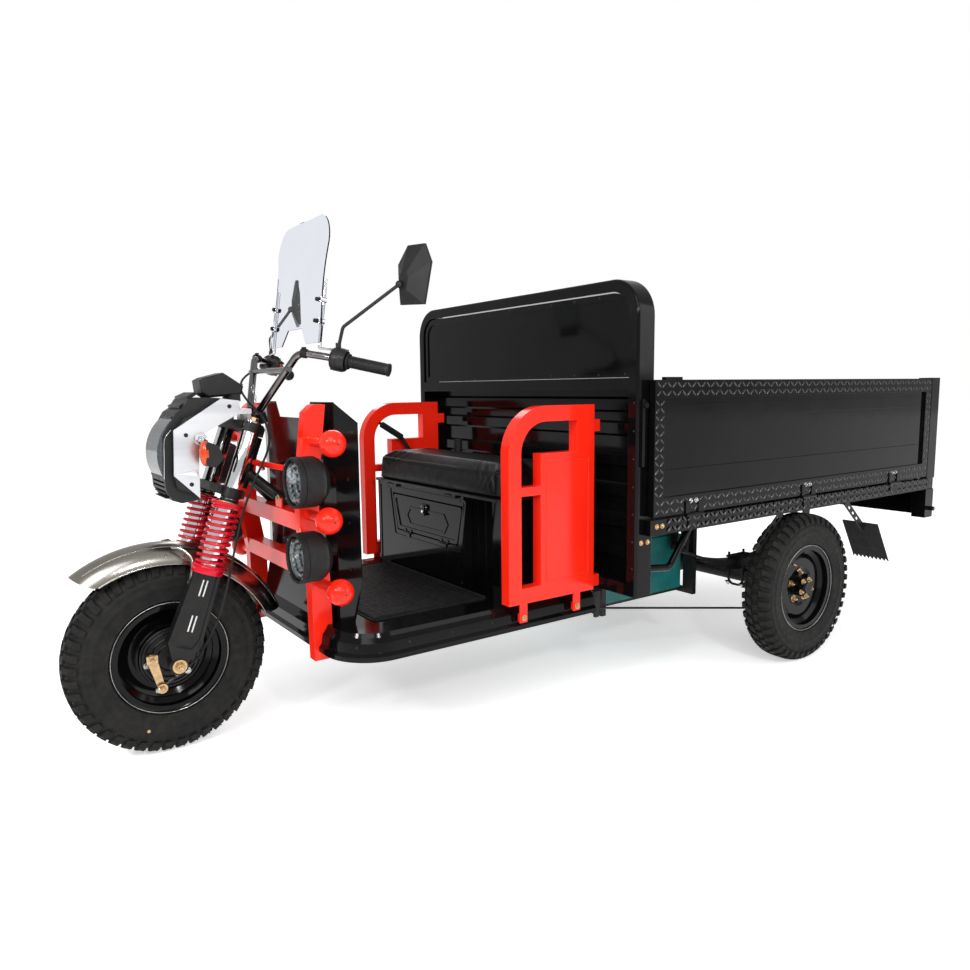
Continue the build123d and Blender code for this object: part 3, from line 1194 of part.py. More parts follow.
# Each coil spring is a real helix, ground flat at its ends, between a seat and a cap.
with BuildPart() as fork_springs:
    length = (spring_top_z - spring_bottom_z) / cos(radians(rake))
    coil_length = length - 2 * spring_seat
    wire_path = spring_radius - spring_wire_radius
    for side in (1, -1):
        base = along_fork(spring_bottom_z, side)
        seat = Plane(origin=base.origin + base.z_dir * spring_seat, x_dir=base.x_dir, z_dir=base.z_dir)
        cap = Plane(origin=seat.origin + base.z_dir * coil_length, x_dir=base.x_dir, z_dir=base.z_dir)
        with BuildLine(seat, mode=Mode.PRIVATE) as coil_line:
            Helix(pitch=coil_length / spring_turns, height=coil_length, radius=wire_path)
        wire = coil_line.line
        with BuildSketch(Plane(origin=wire @ 0, z_dir=wire % 0), mode=Mode.PRIVATE) as wire_section:
            RegularPolygon(spring_wire_radius, 8)
        sweep(sections=wire_section.sketch, path=wire, is_frenet=True)
        for end, low, high in ((seat, -spring_seat, 0), (cap, 0, spring_seat)):
            with BuildSketch(Plane(origin=end.origin + base.z_dir * low, x_dir=base.x_dir, z_dir=base.z_dir)):
                Circle(spring_radius + 2)
            extrude(amount=high - low)
            ground = Plane(origin=end.origin + base.z_dir * low, x_dir=base.x_dir, z_dir=base.z_dir)
            with BuildSketch(Plane(origin=ground.origin - ground.z_dir * (2 * spring_seat if low else -spring_seat),
                                   x_dir=base.x_dir, z_dir=base.z_dir)):
                Circle(spring_radius + 4)
            extrude(amount=2 * spring_seat, mode=Mode.SUBTRACT)
        rod(base.origin - base.z_dir, cap.origin + base.z_dir * (spring_seat + 1), fork_tube_radius, mode=Mode.SUBTRACT)
finish(fork_springs, "fork_springs")

leg_length = (spring_bottom_z - axle_z) / cos(radians(rake))
leg_outline = [(-20, 6), (-30, 35), (-42, 60), (-44, 75), (-36, leg_length), (38, leg_length), (50, 75), (52, 60),
               (38, 35), (20, 6)]
leg_panel = [(-33, 82), (-27, leg_length + 1), (29, leg_length + 1), (39, 82), (26, 52), (-20, 52)]
clamp_radius = 25.0
boss_reach = fork_leg_half + fork_leg_ridge
cup_height = 16.0
with BuildPart() as fork_legs:
    for side in (1, -1):
        forward = Vector(1, 0, lean)
        for points, near, far, mode in ((leg_outline, -fork_leg_half, boss_reach, Mode.ADD),
                                        (leg_panel, fork_leg_half, boss_reach + 1, Mode.SUBTRACT)):
            start = Vector(front_axle_x, side * (fork_y + near), axle_z)
            with BuildSketch(Plane(origin=start, x_dir=forward, z_dir=(0, -1, 0)), mode=Mode.PRIVATE) as face:
                with BuildLine():
                    Polyline(*points, close=True)
                make_face()
            extrude(face.sketch, amount=-side * (far - near), mode=mode)
        rod((front_axle_x, side * (fork_y - boss_reach - 4), axle_z), (front_axle_x, side * (fork_y + boss_reach), axle_z),
            clamp_radius)
        cup = along_fork(spring_bottom_z, side)
        rod(cup.origin - cup.z_dir * cup_height, cup.origin, spring_radius - 4)
    rod((front_axle_x, -200, axle_z), (front_axle_x, 200, axle_z), front_axle_radius, mode=Mode.SUBTRACT)
finish(fork_legs, "fork_legs")

axle_reach = fork_y + boss_reach + 16
with BuildPart() as front_axle:
    rod((front_axle_x, -axle_reach, axle_z), (front_axle_x, axle_reach, axle_z), front_axle_radius)
    for side in (1, -1):
        face_y = side * (fork_y + boss_reach)
        rod((front_axle_x, face_y, axle_z), (front_axle_x, face_y + side * 2.5, axle_z), 17)
        with BuildSketch(Plane(origin=(front_axle_x, face_y, axle_z), x_dir=(1, 0, 0), z_dir=(0, side, 0))):
            RegularPolygon(14, 6)
        extrude(amount=12)
finish(front_axle, "front_axle")

# Front brake: backing plate on the axle, cam, arm and the threaded end of the cable.
plate_y = (front_hub_inner + 2, front_hub_inner + 7)
cam = (front_axle_x + 62, axle_z + 17)
pull = (front_axle_x + 40, axle_z - 72)
arm_front_y = fork_y - 34
with BuildPart() as front_brake:
    rod((front_axle_x, plate_y[0], axle_z), (front_axle_x, plate_y[1], axle_z), brake_plate_radius)
    rod((front_axle_x, plate_y[1], axle_z), (front_axle_x, plate_y[1] + 5, axle_z), brake_plate_radius - 24)
    rod((front_axle_x, plate_y[1], axle_z), (front_axle_x, fork_y - boss_reach, axle_z), 15)
    rod((cam[0], plate_y[1] - 1, cam[1]), (cam[0], arm_front_y + 6, cam[1]), 9)
    with BuildSketch(Plane(origin=(0, arm_front_y, 0), x_dir=(1, 0, 0), z_dir=(0, -1, 0))):
        with Locations(cam):
            Circle(14)
        with Locations(pull):
            Circle(9)
        make_hull()
    extrude(amount=5)
    rod((pull[0], arm_front_y - 9, pull[1]), (pull[0], arm_front_y + 8, pull[1]), 7)
    rod((pull[0], arm_front_y + 3, pull[1]), (front_axle_x - 68, arm_front_y + 10, axle_z + 2), 4)
    rod((front_axle_x, -axle_reach, axle_z), (front_axle_x, axle_reach, axle_z), front_axle_radius, mode=Mode.SUBTRACT)
    add(fork_legs.part, mode=Mode.SUBTRACT)
finish(front_brake, "front_brake")

# ---------------------------------------------------------------- front mudguard
guard_start = 54.5
guard_sweep = 104.0
with BuildPart() as front_mudguard:
    centre = Vector(front_axle_x + mudguard_lead, 0, axle_z + mudguard_rise)
    out = Vector(cos(radians(guard_start)), 0, sin(radians(guard_start)))
    with BuildSketch(Plane(origin=centre, x_dir=out, z_dir=Vector(0, 1, 0).cross(out))):
        with BuildLine():
            crown, edge = mudguard_radius, mudguard_radius - mudguard_crown
            half = mudguard_half_width
            skin = mudguard_wall
            ThreePointArc((edge, -half), (crown, 0), (edge, half))
            ThreePointArc((edge, -half + skin), (crown - skin, 0), (edge, half - skin))
            Line((edge, -half), (edge, -half + skin))
            Line((edge, half), (edge, half - skin))
        make_face()
    revolve(axis=Axis(centre, (0, -1, 0)), revolution_arc=guard_sweep)
    for side in (1, -1):
        stay_z = 540
        strap_x = (fork_x(stay_z) + 20, fork_x(stay_z) + 34)
        block(strap_x, span(side, mudguard_half_width - 1, fork_y - 8), (590, 594))
        block(strap_x, span(side, fork_y - 12, fork_y - 8), (stay_z - 26, 594))
    add(fork_legs.part, mode=Mode.SUBTRACT)
    add(fork_springs.part, mode=Mode.SUBTRACT)
finish(front_mudguard, "front_mudguard")

# ---------------------------------------------------------------- headlamp, plates, signals, pod
plate_points = [(2165, 963), (2028, 1050), (1975, 1043), (1977, 1005), (2087, 948), (2098, 909), (2102, 764), (2171, 834)]
lens_top = (2150, 1008)
lens_bottom = (2193, 826)
with BuildPart() as headlamp_housing:
    body = [(2148, 1012), (2188, 945), (2190, 826), (2188, 790), (2172, 760), (2146, 750), (2098, 756), (2094, 905),
            (2080, 950), (1990, 1004), (1966, 1012), (1966, 1043), (2030, 1052), (2084, 1054), (2112, 1050), (2132, 1022)]
    side_plate([(ahead(x), z) for x, z in body], 1, -lamp_half_width, lamp_half_width)
    side_plate([(ahead(x) - 14, z) for x, z in ((2150, 995), (2180, 940), (2182, 830), (2176, 796), (2120, 775),
                                               (2110, 905), (2090, 960), (2040, 1030))],
               1, -lamp_plate_y, lamp_plate_y)
    for slot in range(4):
        z = 770 + slot * 13
        block((ahead(2150), ahead(2200)), (-lamp_half_width + 14, lamp_half_width - 14), (z, z + 6), mode=Mode.SUBTRACT)
    side_plate([(ahead(2130), 1000), (ahead(2176), 952), (ahead(2178), 832), (ahead(2210), 832), (ahead(2210), 1000)],
               1, -lamp_half_width + 8, lamp_half_width - 8, mode=Mode.SUBTRACT)
    block((ahead(2124), ahead(2180)), (-lamp_half_width + 14, lamp_half_width - 14), (838, 946), mode=Mode.SUBTRACT)
finish(headlamp_housing, "headlamp_housing")

with BuildPart() as headlamp_lens:
    with BuildSketch(Plane(origin=(0, -lamp_half_width + 8, 0), x_dir=(1, 0, 0), z_dir=(0, -1, 0))):
        with BuildLine():
            top = (ahead(lens_top[0]), lens_top[1] - 8)
            bottom = (ahead(lens_bottom[0]), lens_bottom[1] + 6)
            ThreePointArc(top, (ahead(2204), 905), bottom)
            Polyline(bottom, (ahead(2178), 832), (ahead(2176), 952), (ahead(2130), 1000), top)
        make_face()
    extrude(amount=-2 * (lamp_half_width - 8))
    add(headlamp_housing.part, mode=Mode.SUBTRACT)
finish(headlamp_lens, "headlamp_lens")

with BuildPart() as headlamp_plates:
    for side in (1, -1):
        side_plate([(ahead(x), z) for x, z in plate_points], side, lamp_plate_y, lamp_plate_y + lamp_plate_wall)
        ear = [(ahead(1940), 1004), (ahead(1990), 1004), (ahead(1990), 1018), (ahead(1940), 1018)]
        side_plate(ear, side, riser_y - 28, lamp_plate_y + lamp_plate_wall)
        tongue = [(ahead(1926), 1004), (ahead(1944), 1004), (ahead(1944), 1018), (ahead(1926), 1018)]
        side_plate(tongue, side, riser_y - 28, riser_y + 14)
        block((ahead(1922), ahead(1934)), span(side, riser_y - 28, riser_y + 4), (940, 1018))
    add(steering_yokes.part, mode=Mode.SUBTRACT)
    add(headlamp_housing.part, mode=Mode.SUBTRACT)
finish(headlamp_plates, "headlamp_plates")

signal_y = 152.0
with BuildPart() as front_signals:
    for side in (1, -1):
        outer_plate_y = lamp_plate_y + lamp_plate_wall
        rod((ahead(2084), side * lamp_plate_y, 930), (ahead(2084), side * (signal_y - 10), 922), 7)
        rod((ahead(2092), side * outer_plate_y, 936), (ahead(2092), side * (outer_plate_y + 4), 936), 15)
        shell = [(ahead(2094), 932), (ahead(2096), 862), (ahead(2070), 856), (ahead(2046), 880), (ahead(2060), 918)]
        side_plate(shell, side, signal_y - 18, signal_y + 18, corner=7)
    add(headlamp_plates.part, mode=Mode.SUBTRACT)
    add(headlamp_housing.part, mode=Mode.SUBTRACT)
finish(front_signals, "front_signals")

with BuildPart() as instrument_pod:
    profile = [(2068, 1104), (2052, 1112), (1997, 1126), (1938, 1086), (1946, 1060), (2044, 1052), (2064, 1066)]
    side_plate([(ahead(x), z) for x, z in profile], 1, -pod_half_width, pod_half_width)
    fillet(instrument_pod.faces().sort_by(Axis.Y)[0].edges() + instrument_pod.faces().sort_by(Axis.Y)[-1].edges(), 8)
    dial = Plane(origin=(ahead(1967.5), 0, 1106), x_dir=(0, 1, 0), z_dir=(-40, 0, 59))
    with BuildSketch(dial):
        RectangleRounded(2 * pod_half_width - 26, 46, 8)
    extrude(amount=-4, mode=Mode.SUBTRACT)
    for side in (1, -1):
        block((ahead(1950), ahead(1978)), span(side, 24, 44), (1040, 1064))
    add(headlamp_housing.part, mode=Mode.SUBTRACT)
finish(instrument_pod, "instrument_pod")

# ---------------------------------------------------------------- handlebar group
bar_points = [
    (riser_foot[0], riser_y, riser_foot[1]),
    (ahead(1819), 192, 1182),
    (ahead(1757), 248, 1168),
    (ahead(1624), 388, 1126),
]
brace_y = 172.0
brace_x = ahead(1841)
brace_z = 1133.0
with BuildPart() as handlebar:
    for side in (1, -1):
        bent_tube([(x, side * y, z) for x, y, z in bar_points], bar_radius, bar_bend)
    rod((brace_x, -brace_y, brace_z), (brace_x, brace_y, brace_z), 8)
    add(steering_yokes.part, mode=Mode.SUBTRACT)
finish(handlebar, "handlebar")


def on_bar(share, side, lift=0.0):
    """A point on the bar's last run, raised by a lift."""
    low, high = Vector(*bar_points[2]), Vector(*bar_points[3])
    point = low + (high - low) * share
    return Vector(point.X, side * point.Y, point.Z + lift)


grip_start = 0.34
with BuildPart() as bar_controls:
    for side in (1, -1):
        rod(on_bar(grip_start, side), on_bar(1.0, side), grip_radius)
        rod(on_bar(grip_start, side), on_bar(grip_start + 0.03, side), grip_radius + 5)
        rod(on_bar(0.97, side), on_bar(1.0, side), grip_radius + 2)
        rod(on_bar(0.1, side), on_bar(grip_start - 0.02, side), 25)
        rod(on_bar(0.16, side, 0), on_bar(0.2, side, 0) + Vector(0, 0, 34), 9)
        block((on_bar(0.2, side).X - 14, on_bar(0.2, side).X + 10),
              span(side, abs(on_bar(0.2, side).Y) - 13, abs(on_bar(0.2, side).Y) + 13),
              (on_bar(0.2, side).Z - 32, on_bar(0.2, side).Z - 10))
        rod(on_bar(0.0, side), on_bar(1.1, side), bar_radius + grip_gap, mode=Mode.SUBTRACT)
    lever = [on_bar(0.14, -1) + Vector(24, -4, 4), on_bar(0.3, -1) + Vector(52, 2, 0), on_bar(0.9, -1) + Vector(46, 8, -2)]
    bent_tube([tuple(point) for point in lever], 6, 20)
finish(bar_controls, "bar_controls")

mirror_face = [(-23, 83), (40, 82), (62, 30), (34, -85), (-57, -81), (-62, 33)]
mirror_toe = 18.0
mirror_depth = 26.0
mirror_ball = (-38.0, -26.0)
with BuildPart() as mirrors:
    for side in (1, -1):
        out = Vector(-side * sin(radians(mirror_toe)), cos(radians(mirror_toe)), 0)
        ahead_of = Vector(cos(radians(mirror_toe)), side * sin(radians(mirror_toe)), 0)
        middle = Vector(ahead(1556), side * 436, 1395)
        glass = Plane(origin=middle, x_dir=out, z_dir=ahead_of)
        rim = [(side * y, z) for y, z in mirror_face]
        with BuildSketch(glass):
            with BuildLine():
                Polyline(*rim, close=True)
            make_face()
        extrude(amount=8)
        with BuildSketch(Plane(origin=middle + ahead_of * 8, x_dir=out, z_dir=ahead_of)):
            with BuildLine():
                Polyline(*rim, close=True)
            make_face()
        with BuildSketch(Plane(origin=middle + ahead_of * mirror_depth, x_dir=out, z_dir=ahead_of)):
            with BuildLine():
                Polyline(*[(0.3 * y + side * 0.7 * mirror_ball[0], 0.3 * z + 0.7 * mirror_ball[1]) for y, z in rim],
                         close=True)
            make_face()
        loft(ruled=True)
        ball = middle + out * side * mirror_ball[0] + Vector(0, 0, mirror_ball[1]) + ahead_of * (mirror_depth + 5)
        with Locations(tuple(ball)):
            Sphere(11)
        base = on_bar(0.2, side) + Vector(0, 0, 34)
        knee_point = base + Vector(-6, side * 22, 58)
        bent_tube([tuple(base), tuple(knee_point), tuple(ball)], 5, 20)
        rod(tuple(base), (base.X, base.Y, base.Z + 14), 8)
    add(bar_controls.part, mode=Mode.SUBTRACT)
finish(mirrors, "mirrors")

screen_foot = Vector(ahead(1755), 0, 1213)
screen_up = Vector(-sin(radians(screen_lean)), 0, cos(radians(screen_lean)))
screen_plane = Plane(origin=screen_foot, x_dir=(0, 1, 0), z_dir=Vector(0, 1, 0).cross(screen_up))
clamp_heights = (64.0, 128.0)
screen_rod_y = 190.0
with BuildPart() as windscreen:
    with BuildSketch(screen_plane):
        with BuildLine():
            wide, waist, top = screen_half_width, screen_half_width - 14, screen_height
            for side in (1, -1):
                Polyline((0, top), (side * (wide - 90), top))
                ThreePointArc((side * (wide - 90), top), (side * (wide - 24), top - 26), (side * wide, top - 92))
                Spline((side * wide, top - 92), (side * waist, 150), (side * (wide + 6), 44))
                Polyline((side * (wide + 6), 44), (side * (wide + 6), 0), (side * 100, 0), (side * 56, 50), (0, 50))
        make_face()
    extrude(amount=screen_wall)
finish(windscreen, "windscreen")

with BuildPart() as screen_brackets:
    rear = screen_foot + screen_plane.z_dir * -5
    for side in (1, -1):
        low = rear + Vector(0, side * screen_rod_y, 0) - screen_up * 16
        high = rear + Vector(0, side * screen_rod_y, 0) + screen_up * 190
        rod(tuple(low), tuple(high), 5)
        foot = on_bar(0.13, side) + Vector(0, 0, 24)
        rod(tuple(low), (foot.X, foot.Y, foot.Z + 2), 5)
        for height in clamp_heights:
            grip = rear + Vector(0, side * screen_rod_y, 0) + screen_up * height
            rod(tuple(grip - screen_plane.z_dir * 7), tuple(grip + screen_plane.z_dir * 14), 9)
    add(windscreen.part, mode=Mode.SUBTRACT)
    add(bar_controls.part, mode=Mode.SUBTRACT)
finish(screen_brackets, "screen_brackets")

# The front brake cable, from the right lever behind the headlamp and down the left leg.
cable_radius = 3.5
cable_points = [
    (ahead(1800), -226, 1146), (ahead(1862), -176, 1122), (ahead(1906), -100, 1084), (ahead(1916), -14, 1046),
    (ahead(1906), 62, 1010), (ahead(1896), 120, 968), (ahead(1906), 158, 908), (ahead(1944), 168, 842),
    (ahead(1980), 168, 772), (ahead(2006), 166, 698), (ahead(2026), 164, 622), (ahead(2044), 162, 544),
    (ahead(2062), 156, 468), (ahead(2084), 142, 396), (ahead(2112), 118, 334), (front_axle_x - 68, arm_front_y + 10, axle_z + 2),
]
with BuildPart() as control_cables:
    bent_tube(cable_points, cable_radius, 30)
    add(bar_controls.part, mode=Mode.SUBTRACT)
    add(front_brake.part, mode=Mode.SUBTRACT)
finish(control_cables, "control_cables")
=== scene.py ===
"""Finishes and fine pieces of the cargo tricycle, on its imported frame.

Lengths are in metres, except where a docstring or a name says millimetres.
"""
from math import acos, atan2, cos, pi, radians, sin, sqrt, tau

import bmesh
import bpy
from mathutils import Matrix, Vector
from mathutils.bvhtree import BVHTree


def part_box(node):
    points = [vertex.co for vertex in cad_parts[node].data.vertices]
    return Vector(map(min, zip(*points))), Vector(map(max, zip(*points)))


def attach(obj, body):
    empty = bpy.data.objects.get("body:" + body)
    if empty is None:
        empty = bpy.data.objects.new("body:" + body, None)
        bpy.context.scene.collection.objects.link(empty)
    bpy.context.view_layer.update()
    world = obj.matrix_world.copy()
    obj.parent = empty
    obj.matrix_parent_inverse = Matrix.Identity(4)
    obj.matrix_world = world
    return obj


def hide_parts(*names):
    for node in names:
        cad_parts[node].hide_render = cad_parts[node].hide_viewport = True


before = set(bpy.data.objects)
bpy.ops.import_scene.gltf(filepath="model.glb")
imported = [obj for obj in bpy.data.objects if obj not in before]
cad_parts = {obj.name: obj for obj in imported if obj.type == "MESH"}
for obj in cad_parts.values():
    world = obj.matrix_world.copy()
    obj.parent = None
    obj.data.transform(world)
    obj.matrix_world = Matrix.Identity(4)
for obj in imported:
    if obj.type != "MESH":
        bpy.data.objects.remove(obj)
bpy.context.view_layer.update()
X, Y, Z = Vector((1, 0, 0)), Vector((0, 1, 0)), Vector((0, 0, 1))
left_and_right = ((1, "left"), (-1, "right"))
chassis, steering = "chassis", "steering"


def axes(origin, x, y, z):
    """A frame at origin with these three axes."""
    return Matrix.Translation(origin) @ Matrix((x, y, z)).transposed().to_4x4()


def linked(name, data):
    """A new object of this data in the scene."""
    made = bpy.data.objects.new(name, data)
    bpy.context.collection.objects.link(made)
    return made


# ------------------------------------------------------------------ camera
heading, tilt, roll = radians(-125.327), radians(7.15), radians(0.63)
camera_place = Vector((1.9926, 2.396, 1.0722))
forward = Vector((cos(heading) * cos(tilt), sin(heading) * cos(tilt), -sin(tilt)))
level = Vector((sin(heading), -cos(heading), 0))
down = forward.cross(level)
right = level * cos(roll) + down * sin(roll)
lower = down * cos(roll) - level * sin(roll)
camera_data = bpy.data.cameras.new("view")
camera_data.lens = 28.715
camera_data.sensor_width = 36.0
camera = linked("view", camera_data)
camera.matrix_world = axes(camera_place, right, -lower, -forward)
bpy.context.scene.camera = camera


# ------------------------------------------------------------------ finishes
def linear(code):
    """An sRGB hex colour as linear RGBA."""
    parts = [int(code[i:i + 2], 16) / 255 for i in (1, 3, 5)]
    return (*[c / 12.92 if c <= 0.04045 else ((c + 0.055) / 1.055) ** 2.4 for c in parts], 1.0)


def per_mm(size):
    """A texture's scale for cells this many millimetres across."""
    return 1000.0 / size


def bare_tree(owner):
    """The empty node tree of a material or a world."""
    owner.use_nodes = True
    owner.node_tree.nodes.clear()
    return owner.node_tree


def node(tree, kind, inputs, **settings):
    """Adds a node with its settings; each input takes a value, or another node's output as a link."""
    made = tree.nodes.new(kind)
    for key, value in settings.items():
        setattr(made, key, value)
    for key, value in inputs.items():
        if isinstance(value, bpy.types.NodeSocket):
            tree.links.new(value, made.inputs[key])
        else:
            made.inputs[key].default_value = value
    return made


finishes = {}
# The sockets of a Mix node that mixes colours.
mix_a, mix_b, mix_result = 6, 7, 2
# The patterns of a surface's relief: node, its inputs, its settings and the output that gives the height.
grain_kinds = {
    "pebble": ("ShaderNodeTexVoronoi", {}, {"feature": "SMOOTH_F1"}, "Distance"),
    "peel": ("ShaderNodeTexNoise", {"Detail": 2.0}, {}, "Fac"),
    "cast": ("ShaderNodeTexNoise", {"Detail": 8.0, "Roughness": 0.7}, {}, "Fac"),
}


def finish(name, colour, second, patch, rough, grains, edge, wear_and_highlight=None, stretch=(1, 1, 1), **constants):
    """A finish from what the real surface is.

    colour and second are two shades that change over patches this many mm across, rough is its range of
    roughness, grains lists (pattern, cell in mm, depth in mm), edge rounds sharp corners by this many mm, and
    wear_and_highlight is a lighter shade laid in patches on such corners, partly wear where a corner is
    rubbed and partly a painted highlight along the edge. stretch draws the patterns out along an axis.
    constants are numbers for the shader's own sockets.
    """
    material = bpy.data.materials.new(name)
    tree = bare_tree(material)
    place = node(tree, "ShaderNodeTexCoord", {}).outputs["Object"]
    place = node(tree, "ShaderNodeMapping", {"Vector": place, "Scale": stretch}).outputs["Vector"]
    clouding = {"Vector": place, "Scale": per_mm(patch), "Detail": 5.0, "Roughness": 0.6}
    cloud = node(tree, "ShaderNodeTexNoise", clouding)
    cloud_range = {"Value": cloud.outputs["Fac"], "From Min": 0.35, "From Max": 0.65}
    share = node(tree, "ShaderNodeMapRange", cloud_range).outputs["Result"]
    shades = {"Factor": share, mix_a: linear(colour), mix_b: linear(second)}
    tint = node(tree, "ShaderNodeMix", shades, data_type="RGBA").outputs[mix_result]
    haze = node(tree, "ShaderNodeTexNoise", {"Vector": place, "Scale": per_mm(patch / 3), "Detail": 6.0})
    haze_range = {"Value": haze.outputs["Fac"], "From Min": 0.3, "From Max": 0.7,
                  "To Min": rough[0], "To Max": rough[1]}
    gloss = node(tree, "ShaderNodeMapRange", haze_range).outputs["Result"]
    normal = None
    if edge:
        normal = node(tree, "ShaderNodeBevel", {"Radius": edge / 1000}, samples=3).outputs["Normal"]
    # A lighter shade on corners, in patches: partly wear, partly a painted highlight along the edges.
    if wear_and_highlight:
        true = node(tree, "ShaderNodeNewGeometry", {}).outputs["Normal"]
        turn = node(tree, "ShaderNodeVectorMath", {0: normal, 1: true}, operation="DOT_PRODUCT")
        corner = {"Value": turn.outputs["Value"], "From Min": 0.96, "From Max": 0.8}
        rubbed_and_highlit = node(tree, "ShaderNodeMapRange", corner).outputs["Result"]
        patchy_wear_and_highlight = node(tree, "ShaderNodeMath", {0: rubbed_and_highlit, 1: share}, operation="MULTIPLY").outputs[0]
        shades = {"Factor": patchy_wear_and_highlight, mix_a: tint, mix_b: linear(wear_and_highlight)}
        tint = node(tree, "ShaderNodeMix", shades, data_type="RGBA").outputs[mix_result]
    for pattern, cell, depth in grains:
        kind, inputs, settings, output = grain_kinds[pattern]
        inputs = {"Vector": place, "Scale": per_mm(cell), **inputs}
        height = node(tree, kind, inputs, **settings).outputs[output]
        relief = {"Height": height, "Distance": depth / 1000, "Strength": 1.0}
        if normal is not None:
            relief["Normal"] = normal
        normal = node(tree, "ShaderNodeBump", relief).outputs["Normal"]
    inputs = {"Base Color": tint, "Roughness": gloss}
    inputs.update({key.replace("_", " "): value for key, value in constants.items()})
    if normal is not None:
        inputs["Normal"] = normal
    shader = node(tree, "ShaderNodeBsdfPrincipled", inputs)
    node(tree, "ShaderNodeOutputMaterial", {"Surface": shader.outputs["BSDF"]})
    finishes[name] = material


# Stoved gloss enamel on pressed steel: deep black, mirror-like with a faint orange peel 3 mm across.
finish("stoved_enamel", "#070708", "#0c0c0d", 240, (0.06, 0.13), [("peel", 3, 0.010)],
       1.5, "#1c1c1d", IOR=1.25)
# The same enamel on the raised ribs of its tread plate, rubbed by cargo and partly painted as highlight:
# lighter, with bright crests that stand in for the light the ribs catch.
finish("rubbed_and_highlit_enamel", "#1b1a19", "#34302c", 40, (0.14, 0.26), [("cast", 2, 0.02)],
       0.6, "#8a8178", IOR=1.6)
# Air-dried satin chassis paint over rolled tube: black with a dusty haze in patches.
finish("chassis_paint", "#0c0c0c", "#171615", 90, (0.34, 0.52), [("peel", 2, 0.02)],
       1.2, "#2c2b29", IOR=1.35)
# Two-coat red enamel on welded tube: orange-red, glossy, with a soft peel.
finish("red_enamel", "#fb2a16", "#f42412", 200, (0.10, 0.20), [("peel", 4, 0.012)],
       2.0, "#ff5a44", IOR=1.36)
# Dip-stoved crimson enamel on spring wire: wet-looking and even.
finish("crimson_enamel", "#d00a26", "#b8061f", 60, (0.12, 0.24), [("peel", 3, 0.01)],
       0.6, "#e04450", IOR=1.4)
# Bright chromium plate on ground tube: a clean mirror with a trace of haze.
finish("chromium_plate", "#e4e6e8", "#d5d7da", 120, (0.05, 0.12), (), 0.6, Metallic=1.0)
# Dulled chromium plate on the bent handlebar: dark grey where it mirrors the ground, with long highlights.
finish("smoked_chromium", "#77767a", "#5f5c58", 90, (0.10, 0.2), (), 0.6, Metallic=1.0)
# Rolled and buffed stainless sheet: warm grey with soft lengthwise buffing marks 0.8 mm apart.
finish("buffed_stainless", "#a29e97", "#827e77", 160, (0.14, 0.28), [("peel", 0.8, 0.004)],
       0.8, stretch=(0.12, 1, 1), Metallic=1.0)
# Brushed aluminium sheet: pale, with fine parallel lines drawn 0.6 mm apart so that they show.
finish("brushed_aluminium", "#dfe1e4", "#c7cacf", 90, (0.28, 0.4), [("peel", 0.6, 0.012)],
       0.8, "#f2f3f5", stretch=(0.06, 1, 1), Metallic=1.0)
# Injection-moulded ABS, spark-eroded at 0.5 mm and drawn at 1 mm so that it shows: a soft charcoal sheen.
finish("moulded_abs", "#101011", "#171719", 70, (0.38, 0.52), [("pebble", 1.0, 0.03)],
       0.8, "#2c2c2e", IOR=1.4)
# Gloss-moulded ABS fairing: black piano finish, a little softer than enamel.
finish("gloss_abs", "#080809", "#0e0e0f", 160, (0.08, 0.18), [("peel", 6, 0.01)],
       1.2, "#222224", IOR=1.33)
# Cured natural-rubber tyre: dull black with a brownish dust and a mould grain of 1.2 mm.
finish("tyre_rubber", "#0f0f0f", "#1b1a18", 45, (0.62, 0.85), [("cast", 2.4, 0.09), ("pebble", 1.2, 0.03)],
       1.0, "#2f2d2a", IOR=1.33)
# Pressed rubber sheet: black, matt, with a fine pebble of 1.6 mm.
finish("pressed_rubber", "#0f0f0f", "#1a1919", 40, (0.55, 0.75), [("pebble", 1.6, 0.05)],
       0.8, "#2c2b2a", IOR=1.35)
# Knit-backed vinyl seat cover: black leather grain 2.4 mm across over soft creases, with a low sheen.
finish("seat_vinyl", "#060606", "#0c0b0b", 80, (0.38, 0.52), [("pebble", 2.4, 0.16), ("cast", 30, 0.5)],
       0, IOR=1.27)
# Sand-cast iron, painted thinly: dark, with pits 3 mm across.
finish("painted_casting", "#111110", "#1f1d1b", 30, (0.5, 0.72), [("cast", 3, 0.25)],
       1.5, "#3a3631", IOR=1.4)
# Bright zinc plate on turned bolts: cool silver, slightly clouded.
finish("zinc_plate", "#c6c8c6", "#9fa19d", 6, (0.22, 0.4), [("cast", 0.8, 0.01)], 0.4, Metallic=1.0)
# Yellow-passivated zinc on brake parts and wheel nuts: brassy, in clouded patches.
finish("yellow_zinc", "#cfae80", "#a88f6e", 9, (0.28, 0.45), [("cast", 0.8, 0.01)], 0.4, Metallic=1.0)
# Extruded acrylic sheet: clear, faintly blue-grey through its thickness.
finish("acrylic_sheet", "#e9ebf1", "#e3e6ee", 400, (0.01, 0.03), (), 0, Transmission_Weight=1.0, IOR=1.1)
# Moulded polycarbonate lens: clear, hard-coated.
finish("polycarbonate_lens", "#e4e8ea", "#dadfe2", 60, (0.02, 0.05), (), 0, Transmission_Weight=1.0, IOR=1.3)
# Smoked polycarbonate headlamp cover: grey, smooth, with a slow moulding wave.
finish("smoked_lens", "#a9b1b4", "#9aa3a7", 120, (0.02, 0.06), [("peel", 18, 0.05)],
       0, Transmission_Weight=0.85, IOR=1.45)
# Vacuum-metallised reflector bowl: bright mirror.
finish("metallised_bowl", "#eef0f2", "#dde1e4", 20, (0.06, 0.12), (), 0, Metallic=1.0)
